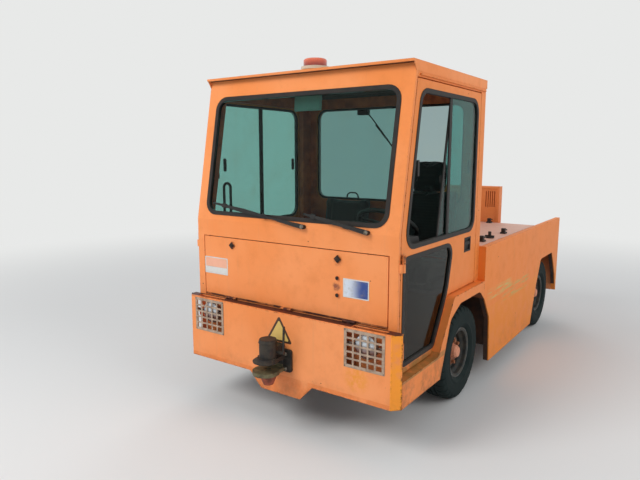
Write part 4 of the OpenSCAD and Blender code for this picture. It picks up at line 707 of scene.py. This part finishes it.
def tube(bm, points, radius, steps=10):
    """Round bar along a path, closed at its ends."""
    points = [Vector(p) for p in points]
    rings = []
    for i, p in enumerate(points):
        way = (points[min(i + 1, len(points) - 1)] - points[max(i - 1, 0)]).normalized()
        if i == 0:
            side = way.orthogonal().normalized()
        else:
            side = (side - way * side.dot(way)).normalized()
        up = way.cross(side)
        angles = [2 * math.pi * k / steps for k in range(steps)]
        rings.append([bm.verts.new(p + radius * (side * math.cos(a) + up * math.sin(a)))
                      for a in angles])
    skin(bm, rings)


def bolt(bm, place, size):
    """Hexagonal bolt head on its washer."""
    washer = [(size * 1.35, 0), (size * 1.35, 0.0012), (size * 1.28, 0.0016), (0, 0.0016)]
    head = [(size, 0.001), (size, size * 0.62), (size * 0.88, size * 0.72), (0, size * 0.72)]
    lathe(bm, washer, place, 20)
    lathe(bm, head, place, 6)


def screw(bm, place, size):
    """Domed screw head."""
    dome = [(size, 0), (size, 0.0006), (size * 0.82, size * 0.30), (size * 0.45, size * 0.42),
            (0, size * 0.45)]
    lathe(bm, dome, place, 18)


# Tyres

# Outline from the bead to the middle of the tread: distance out from the tyre's middle, radius,
# and the depth of a tread groove there, in metres
TYRE_OUTLINE = [
    (0.073, 0.172, 0), (0.082, 0.180, 0), (0.090, 0.192, 0), (0.0915, 0.198, 0),
    (0.0935, 0.200, 0), (0.0935, 0.203, 0), (0.0925, 0.205, 0), (0.0935, 0.222, 0),
    (0.0945, 0.240, 0), (0.0942, 0.256, 0), (0.0930, 0.270, 0), (0.0915, 0.2795, 0),
    (0.0912, 0.2800, 0.004), (0.0885, 0.2920, 0.008), (0.0850, 0.3010, 0.011),
    (0.0790, 0.3085, 0.012), (0.0680, 0.3140, 0.012), (0.0540, 0.3172, 0.012),
    (0.0400, 0.3190, 0.011), (0.0340, 0.3195, 0.010), (0.0335, 0.3195, 0),
    (0.0220, 0.3199, 0), (0.0215, 0.3199, 0.009), (0.0130, 0.3199, 0.009),
    (0.0125, 0.3199, 0), (0, 0.3199, 0)]
# Inner side between the beads
TYRE_MOUTH = [(0.066, 0.158, 0), (-0.066, 0.158, 0)]
LUGS = 34
# Places in one pitch of the tread, and whether the left and the right shoulder have a groove there
LUG_STEPS = [(0, 0, 0), (0.12, 0, 0), (0.15, 0, 1), (0.38, 0, 1), (0.41, 0, 0), (0.50, 0, 0),
             (0.62, 0, 0), (0.65, 1, 0), (0.88, 1, 0), (0.91, 0, 0)]
# The grooves closer to the middle than this run all the way round
RING_X = 0.030
# Those grooves zigzag between these distances, and the lugs slant up to this one
ZIGZAG_X = (0.012, 0.034)
SLANT_X = 0.060


def tyre(name, node, body):
    """Tyre with a block tread in the outline of its CAD node."""
    low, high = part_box(node)
    centre = (low + high) / 2
    outline = [(-x, r, g) for x, r, g in TYRE_OUTLINE[:-1]] + TYRE_OUTLINE[::-1]
    bm = bmesh.new()
    rows = []
    for lug in range(LUGS):
        for share, left, right in LUG_STEPS:
            row = []
            for x, r, groove in outline + TYRE_MOUTH:
                if groove and (abs(x) < RING_X or (right if x > 0 else left)):
                    r -= groove
                skew = 0.55 * min(abs(x), SLANT_X) / SLANT_X
                if ZIGZAG_X[0] < abs(x) < ZIGZAG_X[1] and lug % 2:
                    skew += 0.12
                angle = 2 * math.pi * (lug + share + skew) / LUGS
                point = Vector((x, r * math.cos(angle), r * math.sin(angle)))
                row.append(bm.verts.new(centre + point))
            rows.append(row)
    for a, b in zip(rows, rows[1:] + rows[:1]):
        bridge(bm, a, b)
    obj = piece(name, bm, tyre_rubber, body, 32)
    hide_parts(node)


for end in AXLES:
    for side in SIDES:
        tyre(f"{end}_{side}_tread_tyre", f"{end}_{side}_tyre", f"{end}_{side}_wheel")


# Screws of the lamp grilles
bm = bmesh.new()
for sign in (-1, 1):
    for dx in (-0.122, 0.122):
        for z in (GRILLE_LOW + 0.006, GRILLE_HIGH - 0.006):
            screw(bm, facing(sign * GRILLE_X + dx, -0.003, z, "front"), 0.0045)
piece("grille_screws", bm, bolt_metal, "chassis", 40)

# Bolt heads on the studs of the hitches' plates, whose middles are at these heights
bm = bmesh.new()
for plate_z, d, way in ((0.437, -STUD_OUT, "front"), (0.449, BODY_L + STUD_OUT, "back")):
    for dx in (-0.066, 0.066):
        for dz in (-0.046, 0.046):
            bolt(bm, facing(dx, d, plate_z + dz, way), 0.0085)
piece("hitch_bolts", bm, bolt_metal, "chassis", 40)

# Blank plates on the front hatch: width, height, middle, and the film's two faces
for name, film, w, h, x, z, low, high in (
        ("left_plate", white_film, 0.206, 0.112, -0.588, 0.925, 0, 0.0008),
        ("left_plate_panel", peach_film, 0.192, 0.060, -0.588, 0.945, 0.0006, 0.0012),
        ("left_plate_strip", white_film, 0.192, 0.032, -0.588, 0.892, 0.0006, 0.0012),
        ("right_plate", white_film, 0.168, 0.108, 0.490, 0.915, 0, 0.0008),
        ("right_plate_panel", blue_film, 0.154, 0.095, 0.490, 0.915, 0.0006, 0.0012)):
    bm = bmesh.new()
    prism(bm, rounded(box_outline(w, h), 0.004), low, high, facing(x, CAB_FRONT, z, "front"))
    piece(name, bm, film, "front_hatch", smooth=30)

# Blank warning triangle on the bumper
TRIANGLE = [(-0.100, -0.052), (0.100, -0.052), (0, 0.110)]
for name, reach, high, colour in (("triangle_border", 1.0, 0.0008, rgb(58, 38, 28)),
                                  ("triangle_face", 0.76, 0.0014, rgb(226, 190, 104))):
    film = polymer(name + "_film", colour, rgb(150, 110, 70), 0.45, dust=0.4)
    bm = bmesh.new()
    outline = [(x * reach, y * reach) for x, y in TRIANGLE]
    prism(bm, rounded(outline, 0.010 * reach), 0, high, facing(0, 0, 0.590, "front"))
    piece(name, bm, film, "chassis", smooth=30)

# Locks and knobs of the front hatch, on the studs that stand out of it, with turned slots
STUD_FACE = CAB_FRONT - 0.008
LOCK_TURN, KNOB_TURN = 1.1, 0.6
bm = bmesh.new()
for x in (-0.440, 0.370):
    place = facing(x, STUD_FACE, 1.073, "front")
    diamond = rounded(box_outline(0.0335, 0.0335), 0.003)
    prism(bm, diamond, -0.001, 0.0012, place @ spun(math.radians(45)), 0.001)
    core = [(0.0105, 0.001), (0.0105, 0.0034), (0.0090, 0.0042), (0, 0.0042)]
    lathe(bm, core, place, 24)
    prism(bm, box_outline(0.0100, 0.0020), 0.0040, 0.0052, place @ spun(LOCK_TURN))
for z in (0.964, 0.865):
    place = facing(0.370, STUD_FACE, z, "front")
    knob = [(0.0112, -0.002), (0.0112, 0.0015), (0.0098, 0.0035), (0.0040, 0.0040), (0, 0.0040)]
    lathe(bm, knob, place, 24)
    prism(bm, box_outline(0.016, 0.0026), 0.0035, 0.0055, place @ spun(KNOB_TURN))
piece("hatch_locks", bm, lock_metal, "front_hatch", smooth=35)

# Headlamp glasses
bm = bmesh.new()
dome = [(0.066, -0.001), (0.066, 0.002), (0.058, 0.0060), (0.040, 0.0092), (0.020, 0.0110),
        (0, 0.0115)]
for x in (-GRILLE_X, GRILLE_X):
    lathe(bm, dome, facing(x, 0.016, 0.622, "front"), 40)
piece("headlamp_glasses", bm, headlamp_lens_glint, "chassis", 50)

# Lining under the roof, with its welts, whose dark brown is a painted shade under the roof
bm = bmesh.new()
lining = rounded([(-0.62, 0.34), (0.62, 0.34), (0.62, 1.24), (-0.62, 1.24)], 0.02)
prism(bm, lining, -0.008, 0, level(ROOF_Z - 0.0005))
piece("roof_lining", bm, lining_shade_cloth, "chassis", smooth=35)
bm = bmesh.new()
for d in (0.62, 0.92):
    welt = [(x, at_depth(d), ROOF_Z - 0.010) for x in (-0.61, -0.3, 0, 0.3, 0.61)]
    tube(bm, welt, 0.004, 8)
piece("roof_lining_welts", bm, lining_shade_cloth, "chassis", smooth=50)

# Ribbed mat on the cab's floor
MAT_D = 0.39
MAT_RIBS, RIB_PITCH = 44, 0.027
bm = bmesh.new()
prism(bm, rounded(box_outline(1.20, 0.22, 0, MAT_D), 0.03), 0, 0.004, level(FLOOR_Z))
for k in range(MAT_RIBS):
    rib = box_outline(0.010, 0.20, -0.58 + k * RIB_PITCH, MAT_D)
    prism(bm, rib, 0.0035, 0.006, level(FLOOR_Z))
piece("floor_mat", bm, black_rubber, "chassis", smooth=30)

# Drip rails over the doors
bm = bmesh.new()
for way, sign in SIDES.items():
    d0, d1, height = 0.265, 1.275, 0.007
    outline = [(d0, 0), (d1, 0), (d1, height), (d0, height)]
    if sign < 0:
        outline = [(-d, z) for d, z in outline][::-1]
    prism(bm, outline, -0.001, 0.010, facing(sign * CAB_X, 0, ROOF_Z - 0.020, way), 0.003)
piece("drip_rails", bm, look["cab_sides"], "chassis", 30)

# Wiper motor, arm and blade on the rear window: paths of (x, depth, z)
MOTOR_X, MOTOR_Z = -0.21, 1.985
arm = [(MOTOR_X, 1.342, MOTOR_Z), (-0.13, 1.338, 1.90), (-0.02, 1.320, 1.78), (0.04, 1.308, 1.715)]
blade = [(-0.10, 1.305, 1.87), (0.04, 1.305, 1.715), (0.15, 1.305, 1.595)]
bm = bmesh.new()
place = facing(MOTOR_X, CAB_BACK, MOTOR_Z, "back")
prism(bm, rounded(box_outline(0.090, 0.074), 0.012), 0, 0.044, place, 0.006)
lathe(bm, [(0.012, 0.042), (0.012, 0.054), (0.009, 0.057), (0, 0.057)], place, 20)
tube(bm, [(x, at_depth(d), z) for x, d, z in arm], 0.005, 8)
tube(bm, [(x, at_depth(d), z) for x, d, z in blade], 0.0045, 8)
piece("rear_wiper", bm, black_plastic, "chassis", 40)

# Windscreen wipers: caps on their pivots, sprung roots of the arms, and carriers of the blades
# with two yokes each. Each wiper is its pivot's x, its arm's slope in degrees, and its blade's
# middle and half length along the arm.
caps = bmesh.new()
arms = bmesh.new()
cap = [(0.0125, 0), (0.0125, 0.004), (0.0100, 0.0065), (0.0050, 0.0075), (0, 0.0075)]
root = [(-0.0135, -0.010), (0.0135, -0.010), (0.0085, 0.190), (-0.0085, 0.190)]
for x, degrees, middle, half in ((0.135, 8, 0.470, 0.275), (0.562, 10, 0.250, 0.185)):
    slope = math.radians(degrees)
    pivot = facing(x, CAB_FRONT, KINK_Z, "lean") @ Matrix.Translation((0, 0.006, 0.0255))
    lathe(caps, cap, pivot, 24)
    prism(arms, rounded(root, 0.004), -0.012, 0.0035, pivot @ spun(math.pi / 2 - slope), 0.003)
    along = pivot @ spun(math.pi - slope)
    end_y, middle_y = 0.0055, 0.0130
    carrier = [(middle - half, -end_y), (middle, -middle_y), (middle + half, -end_y),
               (middle + half, end_y), (middle, middle_y), (middle - half, end_y)]
    prism(arms, rounded(carrier, 0.003), -0.0125, -0.0035, along, 0.002)
    for share in (-0.62, 0.62):
        yoke = rounded(box_outline(0.034, 0.027, middle + half * share), 0.003)
        prism(arms, yoke, -0.0145, -0.0015, along, 0.002)
piece("wiper_caps", caps, bolt_metal, "chassis", 40)
piece("wiper_arm_roots", arms, black_plastic, "chassis", 40)

# Catches of the door windows, inside the panes
for side, sign in SIDES.items():
    bm = bmesh.new()
    for d, z in ((0.318, 1.577), (1.080, 1.572)):
        place = facing(sign * 0.733, d, z, "right" if side == "left" else "left")
        prism(bm, rounded(box_outline(0.020, 0.088), 0.006), 0, 0.012, place, 0.003)
        prism(bm, rounded(box_outline(0.012, 0.030), 0.004), 0.011, 0.017, place, 0.002)
    piece(side + "_window_catches", bm, black_plastic, side + "_door", 35)


# Seats

PRESSURE = 4.0
CLOTH_FRAMES = 20
# Share of a pad's width, and how far its outline is drawn in there
TUCKS = ((0, 0.030), (0.03, 0.010), (0.10, 0), (0.5, 0), (0.90, 0), (0.97, 0.010), (1, 0.030))
CHANNEL_HALF = 0.016


def bake(obj):
    """Applies an object's modifiers."""
    depsgraph = bpy.context.evaluated_depsgraph_get()
    shape = bpy.data.meshes.new_from_object(obj.evaluated_get(depsgraph))
    obj.modifiers.clear()
    old = obj.data
    obj.data = shape
    bpy.data.meshes.remove(old)


def inflate(obj, voxel, cap):
    """Swells a closed mesh like a stuffed cover, with no point moving further than the cap."""
    remesh = obj.modifiers.new("remesh", "REMESH")
    remesh.mode = "VOXEL"
    remesh.voxel_size = voxel
    bake(obj)
    start = [v.co.copy() for v in obj.data.vertices]
    cloth = obj.modifiers.new("cloth", "CLOTH")
    settings = cloth.settings
    settings.quality = 5
    settings.mass = 0.3
    settings.use_pressure = True
    settings.uniform_pressure_force = PRESSURE
    settings.tension_stiffness = 15
    settings.compression_stiffness = 15
    settings.bending_stiffness = 0.6
    settings.effector_weights.gravity = 0
    cloth.collision_settings.use_collision = False
    for step in range(1, CLOTH_FRAMES + 1):
        scene.frame_set(step)
    bake(obj)
    scene.frame_set(1)
    for vertex, old in zip(obj.data.vertices, start):
        move = vertex.co - old
        if move.length > cap:
            vertex.co = old + move * (cap / move.length)


def stuffed(name, outline, x0, x1, channels, shrink=0.012, voxel=0.007, cap=0.022):
    """Padded form of a side outline: it swells, then gets its sewn channels and its piping.

    channels are (x, how far the sewn line sinks in), and shrink is the room left for the
    swelling."""
    centre = middle_of(outline)
    bm = bmesh.new()
    rows = []
    for share, tuck in TUCKS:
        x = x0 + shrink + (x1 - x0 - 2 * shrink) * share
        row = []
        for p in outline:
            d, z = Vector(p) + (centre - Vector(p)).normalized() * (shrink + tuck)
            row.append(bm.verts.new((x, at_depth(d), z)))
        rows.append(row)
    skin(bm, rows)
    obj = piece(name, bm, seat_cloth, "chassis")
    inflate(obj, voxel, cap)
    smooth = obj.modifiers.new("smooth", "SUBSURF")
    smooth.levels = 1
    bake(obj)
    for vertex in obj.data.vertices:
        for x, sunk in channels:
            away = abs(vertex.co.x - x) / CHANNEL_HALF
            if away < 1:
                pull = Vector((0, at_depth(centre.x) - vertex.co.y, centre.y - vertex.co.z))
                vertex.co += pull.normalized() * sunk * (1 - away * away) ** 2
    for face in obj.data.polygons:
        face.use_smooth = True
    obj.data.update()
    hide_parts("seat_cushions")
    bm = bmesh.new()
    for x in (x0 + 0.028, x1 - 0.028):
        guide = [(x, at_depth(d), z) for d, z in rounded(outline, 0.02, 4)]
        path = [obj.closest_point_on_mesh(p)[1] for p in guide]
        tube(bm, path + path[:1], 0.0035, 8)
    piece(name + "_piping", bm, piping, "chassis", 60)


# Side outlines of (depth, height)
pad = [(0.642, 0.846), (1.148, 0.846), (1.140, 0.914), (1.000, 0.922), (0.700, 0.940),
       (0.642, 0.920)]
driver_back = [(1.052, 0.924), (1.130, 0.918), (1.210, 1.420), (1.140, 1.425)]
headrest = [(1.114, 1.388), (1.196, 1.388), (1.213, 1.598), (1.135, 1.608)]
passenger_back = [(1.052, 0.924), (1.130, 0.918), (1.196, 1.329), (1.126, 1.334)]
stuffed("driver_pad", pad, 0.185, 0.655, [(0.29, 0.008), (0.55, 0.008)])
stuffed("driver_back", driver_back, 0.195, 0.645, [(0.29, 0.010), (0.55, 0.010)])
stuffed("driver_headrest", headrest, 0.295, 0.545, [], shrink=0.010, voxel=0.006, cap=0.014)
stuffed("passenger_pad", pad, -0.460, -0.030, [(-0.36, 0.008), (-0.13, 0.008)])
stuffed("passenger_back", passenger_back, -0.455, -0.035, [(-0.36, 0.010), (-0.13, 0.010)])

# Carrying loop on the passenger's backrest
bm = bmesh.new()
loop = [(-0.262, 1.318), (-0.255, 1.345), (-0.235, 1.359), (-0.185, 1.359), (-0.165, 1.345),
        (-0.158, 1.318)]
tube(bm, [(x, at_depth(1.160), z) for x, z in loop], 0.0055, 10)
piece("backrest_loop", bm, piping, "chassis", 60)

# Screws of the door hinges' leaves
for side, sign in SIDES.items():
    bm = bmesh.new()
    for leaf_z in (0.607, 1.084):
        for dz in (0.009, 0.034):
            screw(bm, facing(sign * (CAB_X + 0.005), 0.112, leaf_z + dz, side), 0.0042)
    piece(side + "_hinge_screws", bm, bolt_metal, side + "_door", 40)


# Stage and light

BACKDROP = rgb(232, 233, 232)
FLOOR_HALF = 60


def seen_only(tree):
    """1 for what the camera sees directly, in a mirror or through glass."""
    path = tree.nodes.new("ShaderNodeLightPath")
    total = path.outputs["Is Camera Ray"]
    for name in ("Is Glossy Ray", "Is Transmission Ray"):
        add = tree.nodes.new("ShaderNodeMath")
        add.operation = "MAXIMUM"
        tree.links.new(total, add.inputs[0])
        tree.links.new(path.outputs[name], add.inputs[1])
        total = add.outputs[0]
    return total


def stage_plane():
    """Pale floor that keeps the shadow near the tug and turns into the backdrop far from it."""
    mesh = bpy.data.meshes.new("floor")
    corners = [(x * FLOOR_HALF, y * FLOOR_HALF, 0) for x, y in ((-1, -1), (1, -1), (1, 1), (-1, 1))]
    mesh.from_pydata(corners, [], [(0, 1, 2, 3)])
    floor = bpy.data.objects.new("floor", mesh)
    scene.collection.objects.link(floor)
    g = Graph("floor")
    shader = g.node("BsdfPrincipled", {"Base Color": rgb(226, 226, 224), "Roughness": 0.9})
    glow = g.node("Emission", {"Color": BACKDROP, "Strength": 1.0})
    far = g.times(g.step(g.distance((0, 0, 0)), 3.0, 8.5), seen_only(g.tree))
    both = g.node("MixShader", {0: far, 1: shader.outputs[0], 2: glow.outputs[0]})
    g.tree.links.new(both.outputs[0], g.out.inputs[0])
    floor.data.materials.append(g.material)


def area_light(name, place, aim, size, watts):
    data = bpy.data.lights.new(name, "AREA")
    data.shape = "DISK"
    data.size = size
    data.energy = watts
    light = bpy.data.objects.new(name, data)
    scene.collection.objects.link(light)
    light.location = place
    light.rotation_euler = (Vector(aim) - Vector(place)).to_track_quat("-Z", "Y").to_euler()
    # the windows don't mirror the lamp's disc
    light.visible_glossy = False
    light.visible_transmission = False


def sky():
    """Cool light from all round, behind a pale backdrop."""
    world = bpy.data.worlds.new("world")
    world.use_nodes = True
    scene.world = world
    tree = world.node_tree
    light = tree.nodes["Background"]
    light.inputs[0].default_value = (0.92, 0.95, 1.0, 1)
    light.inputs[1].default_value = 0.50
    backdrop = tree.nodes.new("ShaderNodeBackground")
    backdrop.inputs[0].default_value = BACKDROP
    either = tree.nodes.new("ShaderNodeMixShader")
    tree.links.new(seen_only(tree), either.inputs[0])
    tree.links.new(light.outputs[0], either.inputs[1])
    tree.links.new(backdrop.outputs[0], either.inputs[2])
    tree.links.new(either.outputs[0], tree.nodes["World Output"].inputs[0])


stage_plane()
area_light("key", (-2.5, -7.0, 6.0), (0, -0.8, 1.0), 4.0, 340)
area_light("side", (7.0, -1.0, 5.0), (0, 0, 0.8), 5.0, 175)
area_light("back", (-3.0, 7.0, 6.0), (0, 1.0, 1.0), 5.0, 130)
sky()
